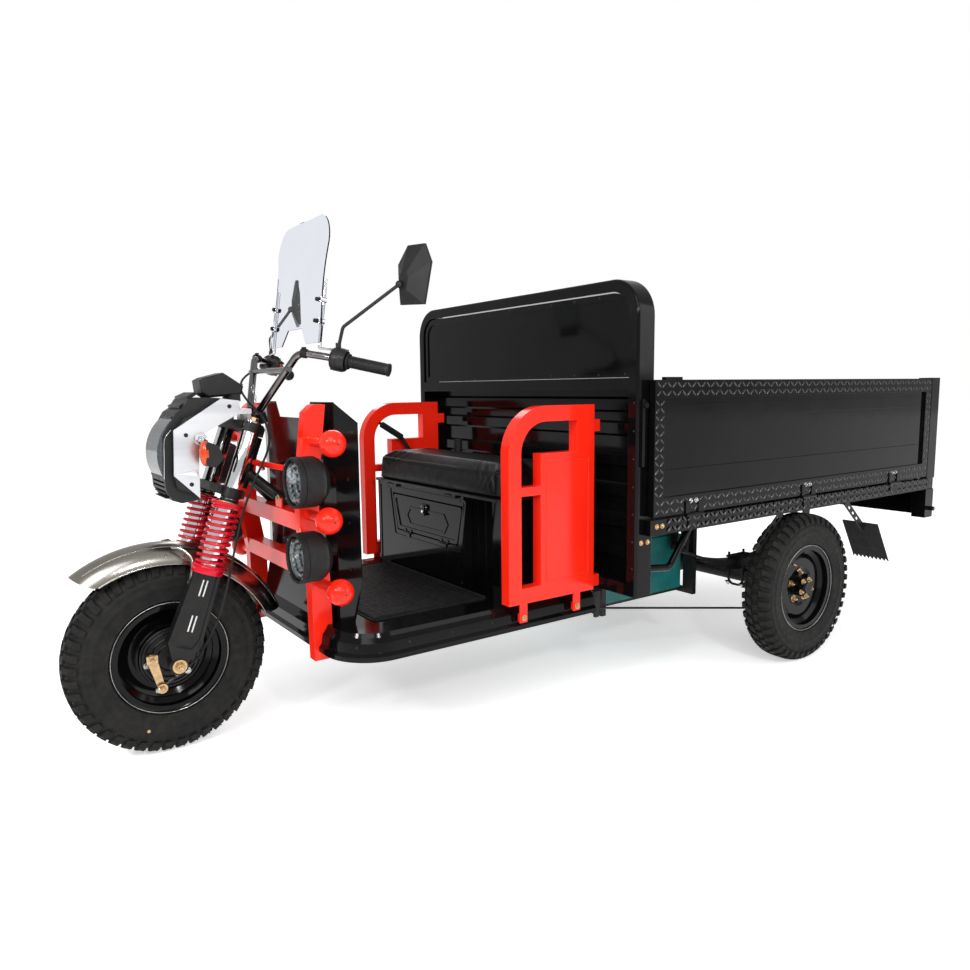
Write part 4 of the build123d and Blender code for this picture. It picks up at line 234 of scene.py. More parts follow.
# Amber acrylic lens, ribbed inside: deep orange that glows where it is thin.
finish("amber_acrylic", "#f0560e", "#d8420a", 25, (0.12, 0.2), [("peel", 3, 0.05)],
       0.5, Transmission_Weight=0.25, Subsurface_Weight=0.2, IOR=1.49)
# Red acrylic tail lens with a prism back.
finish("red_acrylic", "#b3070c", "#8e0409", 25, (0.1, 0.18), [("pebble", 4, 0.3)],
       0.5, Transmission_Weight=0.2, IOR=1.49)
# Teal polypropylene battery case: waxy, moulded.
finish("teal_polypropylene", "#0e6e6b", "#0a5a5b", 60, (0.35, 0.5), [("pebble", 1.2, 0.03)], 1.0, "#3c8f8b")
# White stripe paint, brushed thin over the casting.
finish("stripe_paint", "#dcdcda", "#c4c4c1", 12, (0.35, 0.5), [("cast", 2, 0.03)], 0.3)
# Silvered mirror glass: a perfect mirror.
finish("mirror_glass", "#dfe4e6", "#d8dde0", 200, (0.01, 0.02), (), 0, Metallic=1.0)
# Thinly metallised honeycomb reflector of the guard lamps: grey, half bright.
finish("lamp_honeycomb", "#a5a8ac", "#74777b", 8, (0.10, 0.2), (), 0, Metallic=1.0)
# LED chips under silicone: pale, slightly grainy.
finish("led_chip", "#f0f0ea", "#d9dad2", 3, (0.2, 0.3), [("pebble", 1.5, 0.05)], 0)
# Display glass over a dark instrument face: black and clear-coated.
finish("display_glass", "#0b0d10", "#10141a", 60, (0.03, 0.06), (), 0.5, Coat_Weight=1.0)

carried = {
    "stoved_enamel": "floor_deck seat_box toolbox_door headboard_frame headboard_panel front_wall load_floor "
                     "side_board_left side_board_right tailgate rear_frame front_rim rear_rim_left "
                     "rear_rim_right",
    "chassis_paint": "chassis_frame brake_linkage seat_pan steering_yokes mudflap_straps fork_legs "
                     "drive_motor",
    "red_enamel": "front_guard side_guard_left side_guard_right",
    "crimson_enamel": "fork_springs",
    "chromium_plate": "fork_tubes screen_brackets",
    "smoked_chromium": "handlebar",
    "buffed_stainless": "front_mudguard",
    "brushed_aluminium": "headlamp_plates",
    "moulded_abs": "headlamp_housing instrument_pod bar_controls mirrors guard_lamps front_signals",
    "gloss_abs": "leg_shield",
    "tyre_rubber": "front_tyre rear_tyre_left rear_tyre_right",
    "pressed_rubber": "floor_mat mudflaps control_cables handbrake_lever",
    "seat_vinyl": "seat_cushion",
    "painted_casting": "rear_axle leaf_springs backrest_socket front_brake",
    "yellow_zinc": "front_axle",
    "acrylic_sheet": "windscreen",
    "polycarbonate_lens": "guard_lamp_lenses",
    "smoked_lens": "headlamp_lens",
    "red_acrylic": "rear_lamps",
    "teal_polypropylene": "battery_pack",
}
for name, pieces in carried.items():
    for piece in pieces.split():
        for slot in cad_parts[piece].material_slots:
            slot.material = finishes[name]


# ------------------------------------------------------------------ shapes
def corners(name):
    """A CAD node's lowest corner, highest corner and middle at rest."""
    low, high = (Vector(corner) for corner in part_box(name))
    return low, high, (low + high) / 2


def facing(origin, out, up=Z):
    """A frame at origin with its Z along out and its Y as near up as it can be."""
    out = Vector(out).normalized()
    across = Vector(up).cross(out)
    if across.length < 1e-6:
        across = Y.cross(out)
    across.normalize()
    return axes(origin, across, out.cross(across), out)


def circle(radius, count, start=0.0):
    """Points evenly round a circle, from an angle in radians."""
    angles = [start + tau * i / count for i in range(count)]
    return [(radius * cos(angle), radius * sin(angle)) for angle in angles]


def box(low_x, high_x, low_y, high_y):
    """A rectangle's outline, or the profile of a plain ring."""
    return [(low_x, low_y), (high_x, low_y), (high_x, high_y), (low_x, high_y)]


def collar(inner, outer, low, high, trim, bevel):
    """A ring's profile, its two outer corners cut back by trim across and by bevel along."""
    return [(inner, low), (outer - trim, low), (outer, low + bevel),
            (outer, high - bevel), (outer - trim, high), (inner, high)]


def bead(inner, outer, low, high, crest):
    """A ring's profile with a low crest round its middle."""
    return [(inner, low), (outer, low), (outer + crest, (low + high) / 2), (outer, high), (inner, high)]


def inset(outline, distance):
    """A flat outline moved inwards along its corners' bisectors."""
    area = sum(a[0] * b[1] - b[0] * a[1] for a, b in zip(outline, outline[1:] + outline[:1]))
    turn = 1 if area > 0 else -1
    sharpest = 0.35
    moved = []
    for i, here in enumerate(outline):
        before = (Vector(here) - Vector(outline[i - 1])).normalized()
        after = (Vector(outline[(i + 1) % len(outline)]) - Vector(here)).normalized()
        bisector = Vector((-(before.y + after.y), before.x + after.x)) * turn
        length = max(sharpest, bisector.length ** 2 / 2)
        moved.append(tuple(Vector(here) + bisector * distance / length))
    return moved


def smooth_path(points, steps=6):
    """Points on a smooth line through the given ones."""
    points = [Vector(p) for p in points]
    ends = [points[0] * 2 - points[1], *points, points[-1] * 2 - points[-2]]
    line = []
    for a, b, c, d in zip(ends, ends[1:], ends[2:], ends[3:]):
        for step in range(steps):
            t = step / steps
            square = (a * 2 - b * 5 + c * 4 - d) * t * t
            cube = (b * 3 - a - c * 3 + d) * t ** 3
            line.append((b * 2 + (c - a) * t + square + cube) / 2)
    return [*line, points[-1]]


class Shape:
    """Gathers the faces of one piece; each face keeps the number of its finish."""

    def __init__(self):
        self.points = []
        self.faces = []
        self.numbers = []

    def skin(self, rings, number=0, loop=False, closed=True, ends=True):
        """Joins rings of points with quads; loop joins the last ring to the first, and ends caps them."""
        start, size, count = len(self.points), len(rings[0]), len(rings)
        for ring in rings:
            self.points.extend(Vector(p) for p in ring)
        for i in range(count if loop else count - 1):
            for j in range(size if closed else size - 1):
                near, far = start + i * size, start + (i + 1) % count * size
                self.faces.append((near + j, near + (j + 1) % size, far + (j + 1) % size, far + j))
        if ends and closed and not loop:
            self.faces.append(tuple(range(start + size - 1, start - 1, -1)))
            self.faces.append(tuple(range(start + (count - 1) * size, start + count * size)))
        self.numbers.extend([number] * (len(self.faces) - len(self.numbers)))

    def revolve(self, profile, place, steps=40, number=0, closed=False):
        """Turns (radius, height) pairs about the Z of a frame."""
        rings = []
        for across, along in circle(1.0, steps):
            rings.append([place @ Vector((r * across, r * along, h)) for r, h in profile])
        self.skin(rings, number, loop=True, closed=closed)

    def prism(self, outline, place, low, high, chamfer=0.0, number=0):
        """Raises a flat outline between two heights, with chamfered rims."""
        levels = [(outline, low), (outline, high)]
        if chamfer:
            trimmed = inset(outline, chamfer)
            levels = [(trimmed, low), (outline, low + chamfer), (outline, high - chamfer), (trimmed, high)]
        self.skin([[place @ Vector((x, y, z)) for x, y in points] for points, z in levels], number)

    def tube(self, points, radius, sides=10, number=0, loop=False):
        """A round bar along points; radius may change from point to point."""
        points = [Vector(p) for p in points]
        radii = radius if isinstance(radius, (list, tuple)) else [radius] * len(points)
        rings, up = [], None
        for i, here in enumerate(points):
            before = points[i - 1] if loop or i else here
            after = points[(i + 1) % len(points)] if loop or i + 1 < len(points) else here
            along = (after - before).normalized()
            if up is None:
                up = Z if abs(along.z) < 0.9 else X
            across = along.cross(up).normalized()
            up = across.cross(along)
            rings.append([here + (across * c + up * s) * radii[i] for c, s in circle(1.0, sides)])
        self.skin(rings, number, loop=loop)

    def bolt(self, place, across, number=0, nut=False):
        """A hexagon head over a washer, with chamfered corners; a nut shows the thread's end."""
        washer_high, washer_radius = across * 0.12, across * 0.95
        washer = [(0, 0), (washer_radius, 0), (washer_radius * 1.04, washer_high * 0.5),
                  (washer_radius, washer_high), (0, washer_high)]
        self.revolve(washer, place, 20, number)
        top = washer_high + across * 0.6
        hexagon = circle(across / 2 / cos(pi / 6), 6)
        self.prism(hexagon, place, washer_high, top, across * 0.07, number)
        if nut:
            thread, root = across * 0.3, top - 0.001
            stud = [(0, root), (thread, root), (thread, top + across * 0.3),
                    (thread * 0.8, top + across * 0.38), (0, top + across * 0.38)]
            self.revolve(stud, place, 14, number)

    def screw(self, place, radius, number=0):
        """A domed screw with a round socket."""
        dome = [(radius * cos(a), radius * 0.55 * sin(a)) for a in (0, 0.5, 1.0)]
        socket = [(radius * 0.3, radius * 0.5), (radius * 0.18, radius * 0.2), (0, radius * 0.2)]
        self.revolve([*dome, *socket], place, 16, number)

    def done(self, name, body, *names, replaces=(), angle=35):
        """Makes the piece, gives it its finishes and lets it ride on a CAD body."""
        mesh = bpy.data.meshes.new(name)
        mesh.from_pydata(self.points, [], self.faces)
        work = bmesh.new()
        work.from_mesh(mesh)
        bmesh.ops.remove_doubles(work, verts=work.verts, dist=1e-6)
        bmesh.ops.recalc_face_normals(work, faces=work.faces)
        work.to_mesh(mesh)
        work.free()
        for label in names:
            mesh.materials.append(finishes[label])
        if len(names) > 1 and len(mesh.polygons) == len(self.numbers):
            mesh.polygons.foreach_set("material_index", self.numbers)
        mesh.shade_smooth()
        mesh.set_sharp_from_angle(angle=radians(angle))
        piece = linked(name, mesh)
        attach(piece, body)
        if replaces:
            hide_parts(*replaces)
        return piece


# ------------------------------------------------------------------ tyres
groove_depth = 0.009
lug_spacing = 0.040
bead_radius = 0.1535
# The half width that the profiles below are drawn for; they are widened to the solid tyre's.
drawn_half_width = 0.0570
# The sidewall from the bead outwards, as (radius, distance from the middle); tyre() adds its last two points.
sidewall = [(bead_radius, 0.028), (0.160, 0.0355), (0.1698, 0.0400), (0.1718, 0.0450), (0.1735, 0.0500),
            (0.178, 0.0512), (0.1795, 0.0500), (0.196, 0.0535), (0.214, 0.0555), (0.216, 0.0565),
            (0.2185, 0.0565), (0.2205, 0.0556), (0.237, 0.0548), (0.239, 0.0556), (0.242, 0.0552),
            (0.2435, 0.0540), (0.258, 0.0500), (0.268, 0.0440)]


def tyre(name, body, cad):
    """A road tyre with ringed sidewalls and a block tread: shoulder lugs outside, staggered bars inside."""
    low, high, middle = corners(cad)
    radius, half = (high.z - low.z) / 2, (high.y - low.y) / 2
    centre = facing(middle, Y, Z)
    groove = radius - groove_depth
    widen = half / drawn_half_width
    side = [(r, y * widen) for r, y in [*sidewall, (groove - 0.0035, 0.0370), (groove, 0.022)]]
    shape = Shape()
    far_side = [(r, -y) for r, y in reversed(side)]
    shape.revolve([*side, (groove + 0.0008, 0.0), *far_side, (bead_radius, 0.0)], centre, 120, closed=True)
    count = round(tau * radius / lug_spacing)
    pitch = tau / count

    def at(angle, y, r):
        return centre @ Vector((r * cos(angle), r * sin(angle), y))

    def block(angle, slant, rows, share, sign):
        """A tread block over rows of (y, outer radius, foot radius), leaning by slant from row to row."""
        stations = [(angle + slant * i, sign * y * widen, top, foot) for i, (y, top, foot) in enumerate(rows)]
        rings = []
        for outer, narrowed in ((False, 1.0), (True, 0.84)):
            reach = share * pitch / 2 * narrowed
            near = [at(turn - reach, y, top if outer else foot) for turn, y, top, foot in stations]
            far = [at(turn + reach, y, top if outer else foot) for turn, y, top, foot in reversed(stations)]
            rings.append([*near, *far])
        shape.skin(rings)

    shoulder = ((0.0270, radius - 0.0006, groove - 0.001), (0.0420, radius - 0.0042, groove - 0.006),
                (0.0520, radius - 0.0130, 0.262), (0.0560, radius - 0.0290, 0.254))
    bar_rows = ((0.0030, radius, groove - 0.002), (0.0140, radius, groove - 0.002),
                (0.0235, radius - 0.0004, groove - 0.002))
    # Small ribs on the shoulder between the lugs: their two ends as (radius, y), and their section.
    rib_ends = ((0.2450, 0.0536), (0.2570, 0.0502))
    rib_section = ((-0.004, -0.001), (0, 0.0011), (0.004, -0.001))
    for i in range(count):
        for sign in (1, -1):
            angle = pitch * (i + (0.5 if sign < 0 else 0.0))
            block(angle, 0.006, shoulder, 0.62, sign)
            block(angle + pitch * 0.5, -0.014, bar_rows, 0.66, sign)
            for rib in range(3):
                turn = angle + pitch * (0.22 + 0.28 * rib)
                shape.skin([[at(turn + across, sign * (y + lift) * widen, r) for across, lift in rib_section]
                            for r, y in rib_ends])
    shape.done(name, body, "tyre_rubber", replaces=[cad], angle=32)


tyre("front_tyre_rubber", "front_wheel", "front_tyre")
tyre("rear_left_tyre_rubber", "rear_wheel_left", "rear_tyre_left")
tyre("rear_right_tyre_rubber", "rear_wheel_right", "rear_tyre_right")

# ------------------------------------------------------------------ places to work from
rear_x = corners("rear_rim_left")[2].x
hub = corners("front_rim")[2]
rake = radians(20.3)
fork_up, fork_ahead = Vector((-sin(rake), 0, cos(rake))), Vector((cos(rake), 0, sin(rake)))
leg_y = 0.117
# Half the bore of a ring on a fork tube, which leaves 0.3 mm round it.
tube_bore = 0.0193
# The springs' seats, up the fork from the height of the hub.
spring_low_seat, spring_high_seat = 0.2905, 0.4750


def spot(ahead, y, z):
    """A point from millimetres ahead of the rear axle, left of the middle and above the ground."""
    return Vector((rear_x + ahead / 1000, y / 1000, z / 1000))


def hull(circles, steps=12):
    """The outline round two circles of (x, y, radius)."""
    (ax, ay, ar), (bx, by, br) = circles
    turn, gap = atan2(by - ay, bx - ax), sqrt((bx - ax) ** 2 + (by - ay) ** 2)
    lean = acos((ar - br) / gap)
    arcs = ((bx, by, br, turn - lean, turn + lean), (ax, ay, ar, turn + lean, turn + tau - lean))
    outline = []
    for x, y, r, first, last in arcs:
        for i in range(steps + 1):
            angle = first + (last - first) * i / steps
            outline.append((x + r * cos(angle), y + r * sin(angle)))
    return outline


# ------------------------------------------------------------------ front wheel, fork and brake
def mudguard():
    """Rolled stainless guard: a deep crown, turned edges, rounded ends, and the two straps that hold it."""
    centre = hub + Vector((0.020, 0, -0.049))
    half, drop, crown, sheet = 0.066, 0.060, 0.394, 0.0016
    bend = (half * half + drop * drop) / (2 * drop)
    reach = atan2(half, bend - drop)
    first, sweep = 54.5, 104
    first_tuck, sweep_tuck = 7.5, 12
    shape = Shape()

    def point(share, across, lift):
        """A point at a share of the sweep and of the half width, raised off the inner face by lift."""
        tuck = 1 - sqrt(max(0.0, 1 - across * across))
        angle = radians(first + first_tuck * tuck + (sweep - sweep_tuck * tuck) * share)
        out = crown - bend + (bend - lift) * cos(reach * across)
        return centre + Vector((out * cos(angle), (bend - lift) * sin(reach * across), out * sin(angle)))

    shares = [i / 60 for i in range(61)]
    widths = [i / 12 - 1 for i in range(25)]
    shape.skin([[point(s, a, 0.0002) for a in widths] + [point(s, a, sheet) for a in reversed(widths)]
                for s in shares])
    strap_line = ((0.318, 0.100, 0.058), (0.322, 0.078, 0.078), (0.305, 0.050, 0.104), (0.270, 0.040, 0.112),
                  (0.235, 0.036, 0.112))
    for side in (-1, 1):
        shape.tube([point(s, side * 0.985, 0.0022) for s in shares], 0.0026, 8)
        crease = [(point(s, side * 0.40, -0.0002), 0.0006 + 0.0012 * sin(pi * s)) for s in shares[2:-2]]
        shape.tube([place for place, radius in crease], [radius for place, radius in crease], 6)
        strap = [hub + fork_up * up + fork_ahead * out + Y * side * across for up, out, across in strap_line]
        shape.tube(smooth_path(strap, 5), 0.0055, 8)
        for rise in (0.238, 0.256):
            shape.bolt(facing(hub + fork_up * rise + fork_ahead * 0.037 + Y * side * 0.116, Y * side), 0.008)
        for share in (0.36, 0.44):
            rivet = point(share, side * 0.72, 0.0)
            shape.screw(facing(rivet, rivet - centre), 0.0045)
    shape.done("mudguard_sheet", steering, "buffed_stainless", replaces=["front_mudguard"], angle=50)


def fork_dress():
    """Stripes and ribs on the legs, spring cups, collars, tube caps and axle washers."""
    lower_cup_at, upper_cup_at, cap_at, leg_face = 0.290, 0.4845, 0.735, 0.0161
    lower_cup = [(0.0402, -0.017), (0.0445, -0.017), (0.0465, -0.010), (0.0455, -0.001), (0.0485, 0.002),
                 (0.047, 0.006), (0.0445, 0.006), (0.0402, -0.001)]
    upper_cup = [(tube_bore, -0.002), (0.0465, -0.002), (0.0475, 0.001), (0.0465, 0.003), (tube_bore, 0.003)]
    for side, name in left_and_right:
        foot = Vector((hub.x, side * leg_y, hub.z))
        face = facing(foot + Y * side * leg_face, Y * side, fork_up)
        paint = Shape()
        for low, high in ((0.100, 0.148), (0.206, 0.254)):
            for across in (-0.0085, 0.0035):
                paint.prism(box(across, across + 0.0042, low, high), face, -0.0002, 0.0004, 0.0001)
        paint.done(f"leg_stripes_{name}", steering, "stripe_paint")
        cups, black, bright = Shape(), Shape(), Shape()
        cups.revolve(lower_cup, facing(foot + fork_up * lower_cup_at, fork_up, X), 40, closed=True)
        upper = facing(foot + fork_up * upper_cup_at, fork_up, X)
        cups.revolve(upper_cup, upper, 40, closed=True)
        cups.done(f"spring_cups_{name}", steering, "crimson_enamel")
        bright.revolve(box(tube_bore, 0.037, 0.0032, 0.005), upper, 36, closed=True)
        for low in (0.006, 0.015, 0.024):
            black.revolve(bead(tube_bore, 0.0265, low, low + 0.008, 0.001), upper, 28, closed=True)
        for low in (0.150, 0.222):
            black.revolve(collar(tube_bore, 0.0245, low, low + 0.010, 0.001, 0.002), upper, 28, closed=True)
        for rise, across in ((0.070, -0.036), (0.070, 0.043), (0.275, -0.030), (0.275, 0.032)):
            boss = foot + fork_up * rise + fork_ahead * across + Y * side * 0.020
            black.screw(facing(boss, Y * side), 0.0035)
        for low in (0.03, 0.042, 0.054):
            black.prism(box(-0.014, 0.014, low, low + 0.004), face, -0.0005, 0.0022, 0.0006)
        black.done(f"fork_collars_{name}", steering, "chassis_paint")
        bright.bolt(facing(foot + Y * side * 0.024, Y * side), 0.021, nut=True)
        bright.bolt(facing(foot + fork_up * cap_at, fork_up, X), 0.022)
        bright.done(f"fork_washers_{name}", steering, "yellow_zinc")


def brake_dress():
    """Passivated cam arm, clevis, adjuster nut and rod over the backing plate, and its pressed rings."""
    face = facing(hub, Y, Z)
    cam, clevis = (0.062, 0.017), (0.040, -0.072)
    rod_radius = 0.0032
    brass, bright, plate = Shape(), Shape(), Shape()
    arm = [(-x, y) for x, y in hull([(*cam, 0.0146), (*clevis, 0.0096)])]
    brass.prism(arm, face, 0.0775, 0.0835, 0.0008)
    brass.prism(box(-0.078, -0.046, 0.004, 0.030), face, 0.0832, 0.0905, 0.0015)
    brass.prism(box(-0.074, -0.050, 0.008, 0.026), face, 0.070, 0.0776, 0.001)
    brass.bolt(facing(hub + Vector((cam[0], 0.0905, cam[1])), Y), 0.013, nut=True)
    brass.bolt(facing(hub + Vector((clevis[0], 0.0915, clevis[1])), Y), 0.015, nut=True)
    start, end = hub + Vector((0.058, 0.086, -0.080)), hub + Vector((-0.068, 0.093, 0.002))
    run = end - start
    bright.tube([start, hub + Vector((clevis[0], 0.086, clevis[1])), end], rod_radius, 10)
    for ridge in range(18):
        thread = facing(start.lerp(end, 0.10 + ridge * 0.016), run)
        bright.revolve([(0.0031, -0.0005), (0.0037, 0), (0.0031, 0.0005)], thread, 10)
    nut = collar(rod_radius, 0.0085, 0, 0.013, 0.001, 0.003)
    bright.revolve(nut, facing(start.lerp(end, 0.02), run), 8, closed=True)
    turns, steps, turn_share, coil_radius = 12, 16, 0.022, 0.0055
    coil = []
    for i in range(steps * turns):
        out = Matrix.Rotation(tau * i / steps, 4, run.normalized()) @ (Z * coil_radius)
        coil.append(start.lerp(end, 0.44 + i / steps * turn_share) + out)
    bright.tube(coil, 0.0009, 5)
    for radius, lift in ((0.040, 0.0421), (0.058, 0.0421), (0.074, 0.0371), (0.084, 0.0371)):
        pressed = [(radius - 0.003, lift - 0.0005), (radius, lift + 0.0018), (radius + 0.003, lift - 0.0005)]
        plate.revolve(pressed, face, 48)
    for x, z in circle(0.070, 3, 1.9):
        bright.bolt(facing(hub + Vector((x, 0.0371, z)), Y), 0.010)
    brass.done("brake_arm", steering, "yellow_zinc")
    bright.done("brake_rod", steering, "zinc_plate")
    plate.done("brake_plate_rings", steering, "stoved_enamel")


# ------------------------------------------------------------------ headlamp and its plates
def headlamp_dress():
    """Reflector bowls and mask behind the smoked lens, visor steps, chin slats and bright side lines."""
    bowls, mask, trim = Shape(), Shape(), Shape()
    bowl_ahead, bowl_y, bowl_z = 2134, 33, 892
    flutes, flute_depth = 36, 0.0012
    bowl = ((0.008, 0.0), (0.016, 0.006), (0.025, 0.016), (0.031, 0.030), (0.0315, 0.033))
    rim = [(0.0315, 0.033), (0.0345, 0.034), (0.0345, 0.031), (0.0315, 0.030)]
    bulb = [(0, 0.001), (0.0078, 0.001), (0.0078, 0.014), (0.005, 0.018), (0, 0.0185)]
    for side in (-1, 1):
        place = facing(spot(bowl_ahead, side * bowl_y, bowl_z), X, Z)
        rings = []
        for radius, depth in bowl:
            rings.append([place @ Vector((x, z, depth + (flute_depth if i % 2 else 0)))
                          for i, (x, z) in enumerate(circle(radius, flutes))])
        bowls.skin(rings, ends=False)
        bowls.revolve(rim, place, 36, closed=True)
        mask.revolve(bulb, place, 18, 1)
    back_plate, divider = box(-0.064, 0.064, -0.050, 0.050), box(-0.0015, 0.0015, -0.050, 0.050)
    mask.prism(back_plate, facing(spot(bowl_ahead - 8, 0, bowl_z), X, Z), 0, 0.006, 0.002)
    mask.prism(divider, facing(spot(bowl_ahead, 0, bowl_z), X, Z), 0, 0.034, 0.0004)
    visor_out, visor_up = Vector((0.45, 0, 0.9)), Vector((-0.9, 0, 0.45))
    for ahead, z, wide in ((2112, 1051, 0.070), (2134, 1025, 0.066), (2157, 993, 0.062)):
        step = [(-wide, 0), (wide, 0), (wide - 0.012, 0.030), (-wide + 0.012, 0.030)]
        mask.prism(step, facing(spot(ahead, 0, z), visor_out, visor_up), -0.004, 0.006, 0.0015)
    for slat in range(4):
        place = facing(spot(2176, 0, 766.5 + slat * 13), X, Z)
        mask.prism(box(-0.064, 0.064, -0.0012, 0.0012), place, 0, 0.011, 0.0003)
    for side in (1, -1):
        line = ((2166, 81, 962), (2184, 82, 936), (2188, 82, 880), (2191, 81, 824))
        trim.tube(smooth_path([spot(ahead, side * y, z) for ahead, y, z in line]), 0.0014, 8)
    bowls.done("lamp_bowls", steering, "metallised_bowl", angle=25)
    mask.done("lamp_mask", steering, "moulded_abs", "led_chip")
    trim.done("lamp_side_lines", steering, "chromium_plate")


def plate_dress():
    """Black screws through the aluminium plates, their folded corner, and the indicators' roots and lens."""
    plate_y = 109
    half_wide, half_tall, deep = 0.019, 0.036, 0.015
    screw_ring = [(0.0045, -0.0002), (0.0062, -0.0002), (0.0062, 0.0008), (0.0045, 0.0012)]
    root_ring = [(0.007, 0), (0.0098, 0.0006), (0.0098, 0.0034), (0.007, 0.004)]
    for side, name in left_and_right:
        dark, fold, lens, bright = Shape(), Shape(), Shape(), Shape()
        for ahead, z in ((2132, 948), (2005, 1027), (2124, 806)):
            place = facing(spot(ahead, side * plate_y, z), Y * side)
            dark.screw(place, 0.0045)
            dark.revolve(screw_ring, place, 18)
        dark.done(f"plate_screws_{name}", steering, "moulded_abs")
        for ahead, y, z in ((2169, 109.2, 838), (2104, 109.2, 826), (2104, 109.2, 848), (2108, 113.5, 838)):
            fold.points.append(spot(ahead, side * y, z))
        fold.faces.extend([(0, 1, 3), (0, 3, 2), (2, 3, 1), (0, 2, 1)])
        fold.numbers.extend([0] * 4)
        fold.done(f"plate_fold_{name}", steering, "brushed_aluminium", angle=5)
        root = facing(spot(2092, side * 113, 936), Y * side)
        bright.bolt(root, 0.014)
        bright.revolve(bead(0.013, 0.0165, 0, 0.003, 0.001), root, 28, closed=True)
        for ring in range(3):
            bright.revolve(root_ring, facing(spot(2088, side * (119 + ring * 5), 931), Y * side), 20)
        bright.done(f"indicator_roots_{name}", steering, "chromium_plate")
        shell = facing(spot(2094.5, side * 152, 896), X, Z)
        dome = []
        for a in (0.12, 0.4, 0.7, 1.0, 1.25, pi / 2):
            dome.append([shell @ Vector((half_wide * x, half_tall * y, deep * cos(a)))
                         for x, y in circle(sin(a), 32)])
        lens.skin([*dome, [p - X * 0.006 for p in dome[-1]]])
        for rib in range(7):
            z = -0.024 + rib * 0.008
            tall = z / half_tall
            wide = sqrt(1 - tall ** 2)
            rail = []
            for u in (-0.9, -0.6, -0.3, 0, 0.3, 0.6, 0.9):
                rise = deep * sqrt(max(0, 1 - u * u - tall ** 2 * (1 - u * u))) * wide + 0.0002
                rail.append(shell @ Vector((half_wide * wide * u, z, rise)))
            lens.tube(rail, 0.0007, 5)
        lens.done(f"indicator_lens_{name}", steering, "amber_acrylic")


mudguard()
fork_dress()
brake_dress()
headlamp_dress()
plate_dress()

# ------------------------------------------------------------------ placing on the solids
skins = {}


def touch(cad, start, way):
    """Where a line from start first meets a CAD node, or None."""
    if cad not in skins:
        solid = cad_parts[cad]
        points = [solid.matrix_world @ v.co for v in solid.data.vertices]
        skins[cad] = BVHTree.FromPolygons(points, [tuple(face.vertices) for face in solid.data.polygons])
    return skins[cad].ray_cast(Vector(start), Vector(way).normalized())[0]


def fasten(shape, cad, start, way, across, nut=False, screw=False):
    """A bolt or screw where the line meets the node, looking back along it; none where it misses."""
    met = touch(cad, start, way)
    if met is None:
        return
    place = facing(met, -Vector(way), Z)
    if screw:
        shape.screw(place, across / 2)
    else:
        shape.bolt(place, across, nut=nut)


# ------------------------------------------------------------------ wheels
def wheel_dress(name, body, rim, tyre_node, outer):
    """Rolled rim lips with a thin bright line round each as a painted highlight, wheel nuts on studs and a
    rubber valve.
    """
    middle = corners(tyre_node)[2]
    lip = [(0.156, 0.0400), (0.1610, 0.0424), (0.1650, 0.0446), (0.1695, 0.0449), (0.1713, 0.0432),
           (0.1706, 0.0400)]
    lips, nuts = Shape(), Shape()
    for side in (1, -1):
        lips.revolve(lip, facing(middle, Y * side, Z), 90, closed=True)
        # A thin zinc wire round each lip: a painted highlight along the lip's edge.
        edge = [middle + Vector((x, side * 0.0450, z)) for x, z in circle(0.1668, 90)]
        nuts.tube(edge, 0.0009, 6, 2, loop=True)
    out = Y * outer
    for nut_circle, across, first in ((0.056, 0.015, 0.3), (0.034, 0.011, 0.9)):
        for x, z in circle(nut_circle, 5, first):
            fasten(nuts, rim, middle + Vector((x, outer * 0.2, z)), -out, across, nut=True)
    valve = 0.9
    reach = Vector((cos(valve), 0, sin(valve)))
    stem = touch(rim, middle + reach * 0.138 + out * 0.2, -out)
    if stem:
        rubber_stem = [stem, stem + out * 0.012, stem + out * 0.024 - reach * 0.008]
        metal_cap = [stem + out * 0.023 - reach * 0.0075, stem + out * 0.033 - reach * 0.013]
        nuts.tube(rubber_stem, [0.0062, 0.0046, 0.0038], 10, 1)
        nuts.tube(metal_cap, [0.0045, 0.0042], 10)
    lips.done(f"{name}_rim_lips", body, "stoved_enamel")
    nuts.done(f"{name}_wheel_nuts_and_lip_highlight", body, "yellow_zinc", "pressed_rubber", "zinc_plate")


def coils():
    """Close-wound fork springs on chromed sleeves, between their ground ends."""
    turns, low, high, mean, wire_radius = 9.5, 0.3005, 0.4735, 0.0388, 0.0050
    steps = round(turns * 22)
    lower_sleeve = box(0.0192, 0.0300, spring_low_seat + 0.009, spring_high_seat)
    upper_sleeve = [(0.0192, 0.5180), (0.0248, 0.5180), (0.0252, 0.5195), (0.0252, 0.7160), (0.0240, 0.7185),
                    (0.0192, 0.7185)]
    for side, name in left_and_right:
        base = facing(Vector((hub.x, side * leg_y, hub.z)), fork_up, X)
        wire, sleeve = Shape(), Shape()
        line = []
        for i in range(steps + 1):
            share = i / steps
            angle = tau * turns * share
            line.append(base @ Vector((mean * cos(angle), mean * sin(angle), low + (high - low) * share)))
        wire.tube(line, wire_radius, 10)
        for seat in (spring_low_seat, spring_high_seat):
            wire.revolve(collar(tube_bore, 0.0458, seat, seat + 0.009, 0.0018, 0.002), base, 40, closed=True)
        for profile in (lower_sleeve, upper_sleeve):
            sleeve.revolve(profile, base, 40, closed=True)
        wire.done(f"coil_spring_{name}", steering, "crimson_enamel", replaces=["fork_springs"])
        sleeve.done(f"fork_sleeve_{name}", steering, "chromium_plate")


def tyre_mark():
    """The small painted dot that marks a tyre's light side."""
    dot = Shape()
    place = facing(hub + Vector((0.078, 0.0562, -0.205)), Y, Z)
    dot.revolve([(0, 0.0), (0.0052, 0.0), (0.0045, 0.0008), (0, 0.001)], place, 16)
    dot.done("tyre_balance_dot", "front_wheel", "yellow_zinc")


